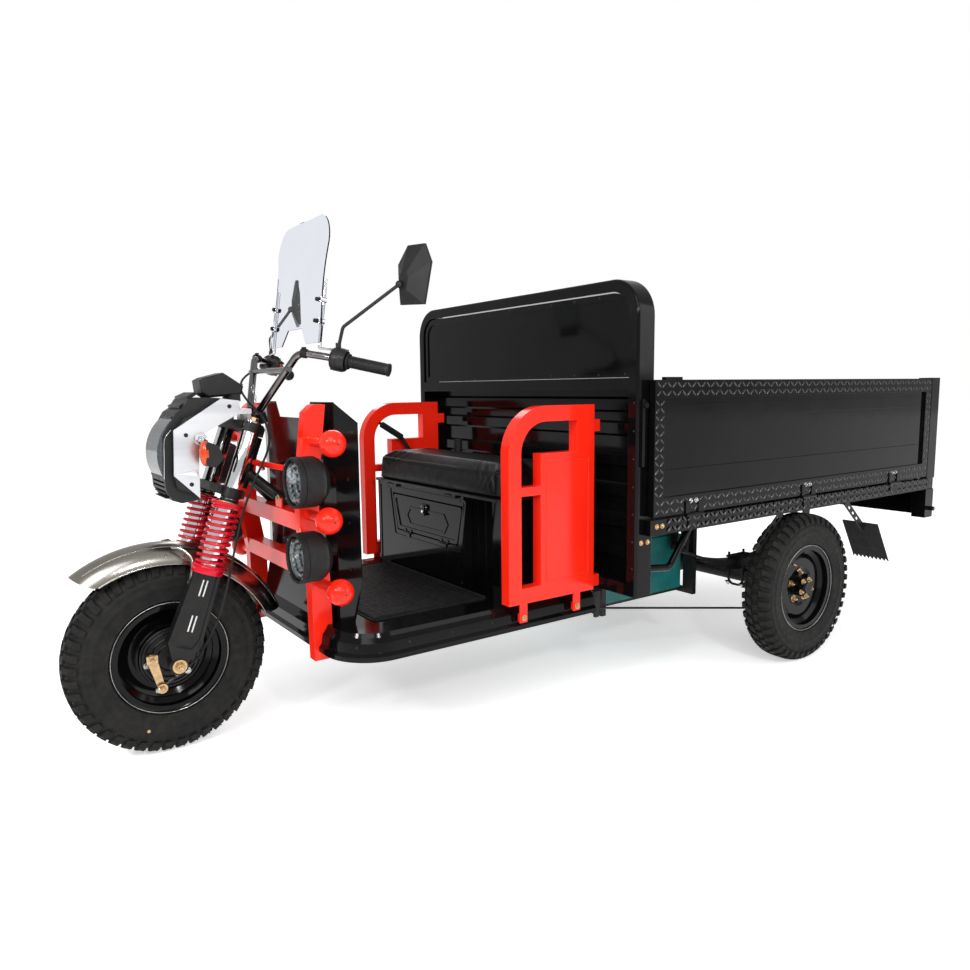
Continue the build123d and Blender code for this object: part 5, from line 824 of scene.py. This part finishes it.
# ------------------------------------------------------------------ front guard and its lamps
def guard_lamp_dress():
    """Fluted reflector bowls, LED clusters, rubber bezels with their screws, and sleeves over the barrels."""
    bowls, chips, rubber, bright = Shape(), Shape(), Shape(), Shape()
    lamp_ahead, lamp_y, lamp_levels = 1922, 366, (606, 818)
    shares = (0.0, 0.2, 0.45, 0.7, 1.0)
    flutes, flute_depth, wall = 48, 0.0016, 0.0006
    mouth, bowl_narrows, bowl_lip, bowl_deep = 0.0594, 0.0390, -0.0077, 0.0376
    bowl_floor = box(0, 0.0204, -0.0459, -0.0452)
    chip_rings = ((0.0, 1, -0.0452), (0.0118, 6, -0.0452), (0.0245, 12, -0.0400), (0.0370, 16, -0.0280),
                  (0.0490, 22, -0.0165))
    chip = [(0.0048, 0), (0.0046, 0.0022), (0.0034, 0.0042), (0.0018, 0.0052), (0, 0.0055)]
    chip_cup = [(0.0049, 0), (0.0056, 0), (0.0052, 0.003), (0.0049, 0.003)]
    bezel = [(0.0628, -0.006), (0.0628, 0.0005), (0.0645, 0.0032), (0.0690, 0.0032), (0.0712, 0.0006),
             (0.0716, -0.012), (0.0700, -0.013), (0.0695, -0.005)]
    barrel = [(0.0660, -0.064), (0.0708, -0.062), (0.0716, -0.056), (0.0718, -0.014), (0.0660, -0.013)]

    def fluted(place, share, lift):
        """A ring of the bowl at a share of its depth, moved out by lift; the flutes fade with depth."""
        ring = []
        for i, (x, z) in enumerate(circle(1.0, flutes)):
            radius = mouth - bowl_narrows * share + lift - (flute_depth if i % 2 else 0) * (1 - share)
            ring.append(place @ Vector((radius * x, radius * z, bowl_lip - bowl_deep * share - lift)))
        return ring

    for side in (1, -1):
        for z in lamp_levels:
            place = facing(spot(lamp_ahead, side * lamp_y, z), X, Z)
            front = [fluted(place, share, 0.0) for share in shares]
            back = [fluted(place, share, wall) for share in reversed(shares)]
            bowls.skin([*front, *back], loop=True)
            bowls.revolve(bowl_floor, place, 32)
            for ring, count, depth in chip_rings:
                for x, y in circle(ring, count):
                    centre = place @ Matrix.Translation((x, y, depth))
                    chips.revolve(chip, centre, 16)
                    bright.revolve(chip_cup, centre, 16, closed=True)
            rubber.revolve(bezel, place, 56, closed=True)
            rubber.revolve(barrel, place, 56, closed=True)
            for x, y in circle(0.0668, 4, pi / 4):
                bright.screw(place @ Matrix.Translation((x, y, 0.0028)), 0.0021)
    bowls.done("guard_lamp_bowls", chassis, "lamp_honeycomb", angle=20)
    chips.done("guard_lamp_chips", chassis, "led_chip")
    rubber.done("guard_lamp_bezels", chassis, "pressed_rubber")
    bright.done("guard_lamp_screws", chassis, "zinc_plate")


def guard_dress():
    """Socket screws in the balls' ends, the tab's bolt, and the guards' feet bolts."""
    bright, dark = Shape(), Shape()
    for side, name in left_and_right:
        for ahead, z in ((1818, 505), (1845, 712), (1827, 925)):
            fasten(dark, "front_guard", spot(ahead, side * 540, z), -Y * side, 0.006, screw=True)
        fasten(bright, "front_guard", spot(1990, side * 108, 745), -X, 0.010)
        for ahead in (1225, 998):
            fasten(bright, f"side_guard_{name}", spot(ahead, side * 600, 341), -Y * side, 0.010, nut=True)
    bright.done("guard_bolts", chassis, "yellow_zinc")
    dark.done("ball_screws", chassis, "painted_casting")


# ------------------------------------------------------------------ bar, pod, screen and mirrors
# The left half of the handlebar: its top bend, the start of its last run and its end.
bar_bend, bar_run_start, bar_end = spot(1819, 192, 1182), spot(1757, 248, 1168), spot(1624, 388, 1126)


def on_side(point, side):
    """A point of the left half, or its mirror image."""
    return Vector((point.x, side * point.y, point.z))


def on_bar(share, side):
    """A point on the bar's last run."""
    return on_side(bar_run_start.lerp(bar_end, share), side)


def controls():
    """Drum-shaped switch housings with their rockers, ribbed grips with end caps, and cable straps."""
    shell, grips, keys = Shape(), Shape(), Shape()
    rocker_seat, rib_seat = 0.034, 0.0346
    ridge = [(0.0168, 0), (0.0180, 0.0006), (0.0180, 0.0026), (0.0168, 0.0032)]
    flange = [(0.0165, -0.004), (0.0228, -0.003), (0.0236, 0), (0.0228, 0.003), (0.0165, 0.004)]
    cap = [(0, 0.003), (0.012, 0.0025), (0.0178, 0.0), (0.0195, -0.003), (0.0178, -0.006)]
    strap = [(0.0112, -0.010), (0.0135, -0.0095), (0.0142, -0.004), (0.0142, 0.004), (0.0135, 0.0095),
             (0.0112, 0.010)]
    for side in (1, -1):
        low, high = on_bar(0.10, side), on_bar(0.325, side)
        way = (high - low).normalized()
        length = (high - low).length
        drum = [(0.0252, 0), (0.0300, 0.0005), (0.0335, 0.004), (0.0350, 0.010), (0.0352, length * 0.49),
                (0.0342, length * 0.495), (0.0342, length * 0.515), (0.0352, length * 0.52),
                (0.0348, length - 0.011), (0.0325, length - 0.004), (0.0290, length), (0.0252, length)]
        shell.revolve(drum, facing(low, way, Z), 44, closed=True)
        back = (-X - way * (-X).dot(way)).normalized()
        red_on_right = 1 if side < 0 else 0
        rockers = ((0.30, 0.5, 0.009, 0.013, 0), (0.30, -0.3, 0.009, 0.010, red_on_right),
                   (0.74, 0.1, 0.008, 0.016, 0))
        for along, turn, wide, tall, number in rockers:
            face = (Matrix.Rotation(turn * side, 4, way) @ back).normalized()
            place = facing(low + way * length * along + face * rocker_seat, face, way)
            keys.prism(box(-wide / 2, wide / 2, -tall / 2, tall / 2), place, -0.002, 0.0045, 0.0012, number)
        for rib in range(4):
            face = (Matrix.Rotation(0.9 + rib * 1.57, 4, way) @ back).normalized()
            place = facing(low + way * length * 0.5 + face * rib_seat, face, way.cross(face))
            shell.prism(box(-length * 0.4, length * 0.4, -0.0016, 0.0016), place, -0.001, 0.0022, 0.0006)
        for ring in range(24):
            grips.revolve(ridge, facing(on_bar(0.385 + ring * 0.0235, side), way, Z), 26, closed=True)
        grips.revolve(flange, facing(on_bar(0.355, side), way, Z), 32, closed=True)
        grips.revolve(cap, facing(on_bar(1.0, side), way, Z), 32)
        bend, run_start = on_side(bar_bend, side), on_bar(0, side)
        near = bend.lerp(run_start, 0.20)
        lead = (run_start - bend).normalized()
        grips.revolve(strap, facing(near, lead, Z), 24, closed=True)
        grips.prism(box(-0.004, 0.004, -0.006, 0.006), facing(near + Z * 0.0135, Z, lead), 0, 0.005, 0.001)
    shell.done("switch_housings", steering, "moulded_abs")
    grips.done("bar_grips", steering, "pressed_rubber")
    keys.done("switch_keys", steering, "gloss_abs", "crimson_enamel")


def small_chain():
    """A short key chain of round links under the pod, ending at the yoke."""
    chain = Shape()
    top, foot = spot(1905, 30, 1088), spot(1899, 38, 1016)
    way = (foot - top).normalized()
    count, link_long, link_wide, wire = 11, 0.0050, 0.0030, 0.0009
    for i in range(count):
        centre = top.lerp(foot, (i + 0.5) / count) + Vector((0.002 * sin(i), 0, 0))
        across = X if i % 2 else Y
        is_key_ring = i == 1
        big, thick = (1.6, 1.2) if is_key_ring else (1.0, 1.0)
        loop = [centre + way * link_long * big * c + across * link_wide * big * s for c, s in circle(1.0, 14)]
        chain.tube(loop, wire * thick, 6, loop=True)
    chain.done("key_chain", steering, "zinc_plate")


def pod_and_screen():
    """Display glass with its frame, screen clamps with knobs, and silvered mirror glass in its bezels."""
    glass, trim, knobs, mirror = Shape(), Shape(), Shape(), Shape()
    pod_out = Vector((-40, 0, 59))
    face = facing(spot(1967.5, 0, 1106), pod_out, Z)
    glass.prism(box(-0.0320, 0.0320, -0.0220, 0.0220), face, -0.0038, -0.0012, 0.0006)
    display_edge = [face @ Vector((x, y, 0.0004)) for x, y in box(-0.0335, 0.0335, -0.0235, 0.0235)]
    trim.tube(display_edge, 0.0011, 6, loop=True)
    for x in (-0.024, 0.024):
        place = facing(face @ Vector((x, -0.0275, 0)), pod_out, Z)
        trim.prism(box(x - 0.005, x + 0.005, -0.0015, 0.0015), place, -0.001, 0.0018, 0.0004)
    lean, toe = radians(8), radians(18)
    rise, out = Vector((-sin(lean), 0, cos(lean))), Vector((cos(lean), 0, sin(lean)))
    knob = [(0, 0.0085), (0.0055, 0.0085), (0.0062, 0.010), (0.0062, 0.0155), (0.0052, 0.0175), (0, 0.018)]
    washer = [(0, -0.0125), (0.0062, -0.0125), (0.0070, -0.011), (0.0070, -0.006), (0, -0.006)]
    mirror_rim = ((-23, 83), (40, 82), (62, 30), (34, -85), (-57, -81), (-62, 33))
    for side in (1, -1):
        for up in (0.064, 0.128):
            middle = spot(1755, side * 190, 1213) + rise * up
            inner, outer = sorted((-side * 0.016, side * 0.007))
            knobs.prism(box(inner, outer, -0.0085, 0.0085), facing(middle, out, Z), 0.0042, 0.0085, 0.001)
            place = facing(middle - Y * side * 0.010, out, Z)
            for profile in (knob, washer):
                knobs.revolve(profile, place, 20, 1)
        along, ahead_of = Vector((-side * sin(toe), cos(toe), 0)), Vector((cos(toe), side * sin(toe), 0))
        place = axes(spot(1556, side * 436, 1395), along, Z, ahead_of)
        rim = [(side * y / 1000, z / 1000) for y, z in mirror_rim]
        mirror.prism(inset(rim, 0.0055), place, -0.0009, 0.0004, 0.0003)
        trim.tube([place @ Vector((x, y, -0.0005)) for x, y in inset(rim, 0.0030)], 0.0021, 8, loop=True)
    glass.done("pod_display", steering, "display_glass")
    trim.done("pod_and_mirror_trim", steering, "moulded_abs")
    knobs.done("screen_clamp_knobs", steering, "chromium_plate", "pressed_rubber")
    mirror.done("mirror_glasses", steering, "mirror_glass")


# ------------------------------------------------------------------ load box, seat and floor
def tread_rib(shape, side, ahead, face, level, leans_back):
    """One raised rib of tread plate on the box's side: a low boat shape that leans one way or the other."""
    length, width, height = 0.026, 0.0065, 0.0024
    lean = radians(45 if leans_back else -45)
    place = facing(spot(ahead, side * face, level), Y * side, Z) @ Matrix.Rotation(lean, 4, "Z")
    base = [(-length / 2, 0), (-length / 5, -width / 2), (length / 5, -width / 2), (length / 2, 0),
            (length / 5, width / 2), (-length / 5, width / 2)]
    foot = [place @ Vector((x, y, -0.0002)) for x, y in base]
    crest = [place @ Vector((x * 0.7, y * 0.45, height)) for x, y in base]
    shape.skin([foot, crest])


def tread_row(shape, side, low, high, level, face):
    """A row of leaning ribs along a rail on the box's side, about 24 mm apart."""
    count = round((high - low) / 24)
    for i in range(count):
        ahead = low + (high - low) * (i + 0.5) / count
        tread_rib(shape, side, ahead, face, level, (i + round(level)) % 2)


def board_dress():
    """Tread-plate ribs on the rails and stiles, and bolts through the hinge leaves."""
    board_face = 702
    for side, name in left_and_right:
        ribs, bright = Shape(), Shape()
        board = f"side_board_{name}"
        for level in (1049, 1076, 667, 694):
            tread_row(ribs, side, -948, 842, level, board_face)
        for column in (-942, -919, 813, 836):
            for i in range(13):
                tread_rib(ribs, side, column, board_face, 724 + i * 24.5, (i + column) % 2)
        for hinge in (-660, -13, 654):
            for offset in (-14, 14):
                fasten(bright, board, spot(hinge + offset, side * 800, 690), -Y * side, 0.009)
        ribs.done(f"board_tread_{name}", board, "rubbed_and_highlit_enamel", angle=20)
        bright.done(f"board_bolts_{name}", board, "zinc_plate")


def box_dress():
    """Screws round the headboard, deck and seat box, and bolts on posts, rear frame, flaps and springs."""
    bright, brass, dark = Shape(), Shape(), Shape()
    for i in range(11):
        for z in (1111, 1361):
            fasten(dark, "headboard_panel", spot(960, -610 + i * 122, z), -X, 0.008, screw=True)
    for side in (1, -1):
        inwards = -Y * side
        for node_name, z, places in (("headboard_frame", 566, (842, 872)), ("load_floor", 618, (800, 826))):
            for ahead in places:
                fasten(brass, node_name, spot(ahead, side * 800, z), inwards, 0.009)
        for i in range(7):
            fasten(dark, "headboard_frame", spot(1000, side * 657, 480 + i * 90), -X, 0.007, screw=True)
        for z in (500, 640, 760, 880, 1000):
            fasten(bright, "rear_frame", spot(-1200, side * 680, z), X, 0.012)
        for y in (604, 642, 688, 726):
            fasten(bright, "mudflaps", spot(-900, side * y, 468), X, 0.010)
        for x in (-50, 50):
            for y in (396, 464):
                fasten(bright, "leaf_springs", spot(x, side * y, 60), Z, 0.014, nut=True)
        for ahead in (1330, 1480, 1630, 1780):
            fasten(dark, "floor_deck", spot(ahead, side * 620, 338), inwards, 0.009, screw=True)
        for z in (420, 560, 690):
            fasten(dark, "seat_box", spot(1120, side * 600, z), inwards, 0.007, screw=True)
            fasten(dark, "leg_shield", spot(1900, side * 320, z + 120), -X, 0.010, screw=True)
    for y in (-400, -330, 190):
        for z in (396, 684):
            fasten(dark, "seat_box", spot(1400, y, z), -X, 0.007, screw=True)
    fasten(bright, "rear_axle", spot(0, 0, 60), Z, 0.018)
    for y, z in circle(78, 10):
        fasten(bright, "rear_axle", spot(-260, y, 288 + z), X, 0.011)
    bright.done("box_bolts", chassis, "zinc_plate")
    brass.done("floor_bolts", chassis, "yellow_zinc")
    dark.done("black_screws", chassis, "painted_casting")


def lamp_prisms():
    """The moulded prisms of the rear lamps' lenses: red, then amber, then clear."""
    lens = Shape()
    foot, crest = box(-0.0037, 0.0037, -0.0046, 0.0046), box(-0.0012, 0.0012, -0.0016, 0.0016)
    for side in (1, -1):
        for number, (low, high) in enumerate(((470, 520), (520, 568), (568, 610))):
            columns = round((high - low) / 8)
            for i in range(columns):
                for row in range(7):
                    y, z = low + (high - low) * (i + 0.5) / columns, 497 + row * 10
                    place = facing(spot(-1035, side * y, z), -X, Z)
                    lens.skin([[place @ Vector((*corner, lift)) for corner in outline]
                               for outline, lift in ((foot, -0.0002), (crest, 0.0026))], number)
    lens.done("rear_lamp_prisms", chassis, "red_acrylic", "amber_acrylic", "polycarbonate_lens", angle=10)


def wall_and_rails():
    """The box's front wall as one sheet with long swages, and the tread ribs along the floor's side rails."""
    low, high, middle = corners("front_wall")
    sheet, proud = 0.003, 0.0155
    wall, ribs = Shape(), Shape()
    front = [(sheet, 0.0)]
    for swage in (0.060, 0.165, 0.270, 0.375, 0.480, 0.560):
        front.extend([(sheet, swage), (proud, swage + 0.008), (proud, swage + 0.044), (sheet, swage + 0.052)])
    front.append((sheet, high.z - low.z))
    outline = [*front, *[(x - sheet, z) for x, z in reversed(front)]]
    stations = (low.y, low.y + 0.3, middle.y, high.y - 0.3, high.y)
    wall.skin([[Vector((low.x + x, y, low.z + z)) for x, z in outline] for y in stations])
    wall.done("front_wall_sheet", chassis, "stoved_enamel", replaces=["front_wall"], angle=25)
    for side in (1, -1):
        rail_face = abs(touch("load_floor", spot(0, side * 900, 620), -Y * side).y) * 1000
        for level in (606, 632):
            tread_row(ribs, side, -1000, 780, level, rail_face)
    ribs.done("floor_rail_tread", chassis, "rubbed_and_highlit_enamel", angle=20)


def mat_dress():
    """Ribs across the floor mat and its raised border."""
    mat = Shape()
    top = corners("floor_mat")[1].z
    for i in range(39):
        place = spot(1467, -323 + i * 17, 0)
        place.z = top
        mat.prism(box(-0.1995, 0.1995, -0.0042, 0.0042), Matrix.Translation(place), -0.0004, 0.0016, 0.0009)
    border = [spot(x, y, 0) + Z * (top + 0.0002) for x, y in box(1262, 1672, -342, 342)]
    mat.tube(border, 0.0028, 8, loop=True)
    mat.done("mat_ribs", chassis, "pressed_rubber")


def battery_dress():
    """Battery lids with their plugs and posts, and the bus bars that join them."""
    lids, metal = Shape(), Shape()
    lid = box(-0.100, 0.100, -0.112, 0.112)
    plug = [(0, 0.0045), (0.008, 0.0045), (0.0088, 0.0035), (0.0088, 0)]
    post_shape = [(0, 0.014), (0.0065, 0.014), (0.0075, 0.012), (0.0075, 0)]
    posts = []
    for row in range(2):
        for column in range(3):
            x, y = 447 + row * 235, -253 + column * 256.7
            lids.prism(lid, Matrix.Translation(spot(x, y, 512)), -0.002, 0.004, 0.0015)
            for i in range(6):
                lids.revolve(plug, Matrix.Translation(spot(x + 4, y - 80 + i * 32, 515.5)), 16)
            for sign in (-1, 1):
                post = spot(x - 82, y + sign * 88, 515)
                metal.revolve(post_shape, Matrix.Translation(post), 16)
                posts.append(post + Z * 0.010)
    for first, second in ((1, 2), (3, 4), (7, 8), (9, 10)):
        start, end = posts[first], posts[second]
        way = (end - start).normalized()
        strap = box(-0.007, (end - start).length + 0.007, -0.007, 0.007)
        metal.prism(strap, axes(start, way, Z.cross(way), Z), -0.0015, 0.0015, 0.0006)
    lids.done("battery_lids", chassis, "teal_polypropylene")
    metal.done("battery_posts", chassis, "zinc_plate")


def rounded(width, depth, radius, steps=6):
    """A rectangle's outline with round corners, about its middle."""
    outline = []
    for x_sign, y_sign, first in ((1, 1, 0), (-1, 1, 90), (-1, -1, 180), (1, -1, 270)):
        centre_x, centre_y = x_sign * (width / 2 - radius), y_sign * (depth / 2 - radius)
        for step in range(steps + 1):
            angle = radians(first + 90 * step / steps)
            outline.append((centre_x + radius * cos(angle), centre_y + radius * sin(angle)))
    return outline


def evaluated(thing):
    """The mesh of an object with its modifiers applied."""
    return bpy.data.meshes.new_from_object(thing.evaluated_get(bpy.context.evaluated_depsgraph_get()))


def inflate(shape, low, high):
    """Remeshes a closed shape evenly and blows it up as cloth held at its base, within a box."""
    voxel, pressure, cap, last_frame = 0.006, 4.0, 0.024, 20
    mesh = bpy.data.meshes.new("slack_cover")
    mesh.from_pydata(shape.points, [], shape.faces)
    slack = linked("slack_cover", mesh)
    remesh = slack.modifiers.new("even", "REMESH")
    remesh.mode = "VOXEL"
    remesh.voxel_size = voxel
    even = evaluated(slack)
    bpy.data.objects.remove(slack)
    cover = linked("cover", even)
    base = min(v.co.z for v in even.vertices)
    held = cover.vertex_groups.new(name="held")
    held.add([v.index for v in even.vertices if v.co.z < base + voxel * 0.6], 1.0, "REPLACE")
    cloth = cover.modifiers.new("cloth", "CLOTH")
    cloth.settings.quality = 4
    cloth.settings.use_pressure = True
    cloth.settings.uniform_pressure_force = pressure
    cloth.settings.effector_weights.gravity = 0.0
    cloth.settings.vertex_group_mass = "held"
    cloth.point_cache.frame_start, cloth.point_cache.frame_end = 1, last_frame
    for step in range(1, last_frame + 1):
        bpy.context.scene.frame_set(step)
    swollen = evaluated(cover)
    points = []
    for before, after in zip(even.vertices, swollen.vertices):
        moved = after.co - before.co
        if moved.length > cap:
            moved = moved * (cap / moved.length)
        point = before.co + moved
        points.append(Vector([min(max(point[i], low[i]), high[i]) for i in range(3)]))
    faces = [tuple(face.vertices) for face in swollen.polygons]
    bpy.data.objects.remove(cover)
    bpy.context.scene.frame_set(1)
    return points, faces


def cushion():
    """The seat cushion: a vinyl cover blown up over its foam, piped along the top and bottom edges."""
    low, high, middle = corners("seat_cushion")
    size = high - low
    slack_by, corner_radius, piping = 0.016, 0.030, 0.0026
    base = Matrix.Translation((middle.x, middle.y, low.z))
    levels = ((0.001, 0.004), (0.008, 0.0), (size.z - 0.034, 0.0), (size.z - 0.020, 0.006),
              (size.z - 0.014, 0.020))
    rings = []
    for z, trim in levels:
        outline = rounded(size.x - slack_by - 2 * trim, size.y - slack_by - 2 * trim, corner_radius)
        rings.append([base @ Vector((x, y, z)) for x, y in outline])
    slack, pad = Shape(), Shape()
    slack.skin(rings)
    pad.points, pad.faces = slack.points, slack.faces
    pad.points, pad.faces = inflate(slack, low + Vector((0, 0, 0.0002)), high)
    pad.numbers = [0] * len(pad.faces)
    skin = BVHTree.FromPolygons(pad.points, pad.faces)
    edge = rounded(size.x - 0.012, size.y - 0.012, 0.032, 10)
    for level in (size.z - 0.022, 0.010):
        ring = [skin.find_nearest(base @ Vector((x, y, level)))[0] for x, y in edge]
        line = [p.lerp(q, share) for p, q in zip(ring, ring[1:] + ring[:1]) for share in (0, 0.34, 0.67)]
        pad.tube(line, piping, 8, loop=True)
    piece = pad.done("seat_cover", "seat_lid", "seat_vinyl", replaces=["seat_cushion"], angle=60)


def toolbox_dress():
    """Lock barrel by the latch, and the latch plate's two rivets."""
    bright = Shape()
    place = facing(touch("toolbox_door", spot(1400, -54, 620), -X), X, Z)
    bright.revolve([(0, 0.004), (0.005, 0.004), (0.0058, 0.003), (0.0058, -0.001)], place, 22)
    for y in (-70, -38):
        fasten(bright, "toolbox_door", spot(1400, y, 636), -X, 0.006, screw=True)
    bright.done("toolbox_lock", "toolbox_door", "chromium_plate")


def brake_cable():
    """The front brake's free cable: from the lever, behind the lamp and down the left leg to the cam arm."""
    route = ((1800, -226, 1146), (1862, -176, 1122), (1906, -100, 1084), (1916, -14, 1046), (1906, 62, 1010),
             (1896, 120, 968), (1906, 158, 908), (1944, 168, 842), (1980, 168, 772), (2006, 166, 698),
             (2026, 164, 622), (2044, 162, 544), (2062, 156, 468), (2084, 142, 396), (2112, 118, 334),
             (2126, 93, 290))
    curve = bpy.data.curves.new("brake_cable", "CURVE")
    curve.dimensions = "3D"
    line = curve.splines.new("NURBS")
    line.points.add(len(route) - 1)
    for point, place in zip(line.points, route):
        point.co = (*spot(*place), 1.0)
    line.order_u = 3
    line.use_endpoint_u = True
    line.resolution_u = 8
    curve.bevel_depth = 0.0035
    curve.bevel_resolution = 3
    curve.use_fill_caps = True
    curve.materials.append(finishes["pressed_rubber"])
    cable = linked("brake_cable", curve)
    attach(cable, steering)
    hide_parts("control_cables")


bpy.context.view_layer.update()
wheel_dress("front", "front_wheel", "front_rim", "front_tyre", -1)
wheel_dress("rear_left", "rear_wheel_left", "rear_rim_left", "rear_tyre_left", 1)
wheel_dress("rear_right", "rear_wheel_right", "rear_rim_right", "rear_tyre_right", -1)
coils()
tyre_mark()
guard_lamp_dress()
guard_dress()
controls()
small_chain()
brake_cable()
pod_and_screen()
board_dress()
box_dress()
lamp_prisms()
wall_and_rails()
mat_dress()
battery_dress()
cushion()
toolbox_dress()


# ------------------------------------------------------------------ light and floor
def ray_is(tree, *kinds):
    """An output that is 1 for rays of either of two kinds."""
    path = node(tree, "ShaderNodeLightPath", {}).outputs
    first, second = (path[kind] for kind in kinds)
    return node(tree, "ShaderNodeMath", {0: first, 1: second}, operation="MAXIMUM").outputs[0]


def pale_world():
    """An even white world: plain light on the object, pure white where the camera or glass looks past it."""
    world = bpy.data.worlds.new("studio")
    bpy.context.scene.world = world
    tree = bare_tree(world)
    seen = ray_is(tree, "Is Camera Ray", "Is Transmission Ray")
    level = node(tree, "ShaderNodeMapRange", {"Value": seen, "To Min": 0.64, "To Max": 1.0})
    strength = level.outputs["Result"]
    back = node(tree, "ShaderNodeBackground", {"Color": (1, 1, 1, 1), "Strength": strength})
    node(tree, "ShaderNodeOutputWorld", {"Surface": back.outputs[0]})


def soft_boxes():
    """Three large soft boxes, and two small ones that put highlights on the black panels and the front."""
    large, small = 3.0, 0.30
    lamps = (
        ("key", (3.5, 3.5, 4.2), (0, 0, 0.5), large, 118),
        ("fill", (-2.5, 4.5, 2.6), (-0.3, 0, 0.6), large, 55),
        ("rim", (-1.5, -4.0, 3.6), (0, 0, 0.8), large, 90),
        ("spot_left", (1.4, 3.6, 2.4), (0.4, 0, 0.6), small, 34),
        ("spot_front", (3.4, 1.2, 2.0), (1.0, 0, 0.6), small, 26),
    )
    for name, stand, aim, size, power in lamps:
        light = bpy.data.lights.new(name, "AREA")
        light.size = size
        light.energy = power
        lamp = linked(name, light)
        lamp.visible_transmission = False
        lamp.matrix_world = facing(stand, Vector(stand) - Vector(aim), Z)


def paper_floor():
    """A round sheet of white paper that keeps the shadow; the camera and gloss see it glow a little."""
    reach, thickness, glow_strength = 30, 0.02, 0.47
    sheet = Shape()
    sheet.prism(circle(reach, 48), Matrix.Translation((0, 0, -thickness)), 0, thickness)
    mesh = bpy.data.meshes.new("studio_floor")
    mesh.from_pydata(sheet.points, [], sheet.faces)
    ground = linked("studio_floor", mesh)
    material = bpy.data.materials.new("studio_paper")
    tree = bare_tree(material)
    seen = ray_is(tree, "Is Camera Ray", "Is Glossy Ray")
    strength = node(tree, "ShaderNodeMath", {0: seen, 1: glow_strength}, operation="MULTIPLY").outputs[0]
    paper = node(tree, "ShaderNodeBsdfDiffuse", {"Color": (0.95, 0.95, 0.95, 1)})
    glow = node(tree, "ShaderNodeEmission", {"Color": (1, 1, 1, 1), "Strength": strength})
    both = node(tree, "ShaderNodeAddShader", {0: paper.outputs[0], 1: glow.outputs[0]})
    node(tree, "ShaderNodeOutputMaterial", {"Surface": both.outputs[0]})
    mesh.materials.append(material)


pale_world()
soft_boxes()
paper_floor()
bpy.context.scene.view_settings.view_transform = "Standard"
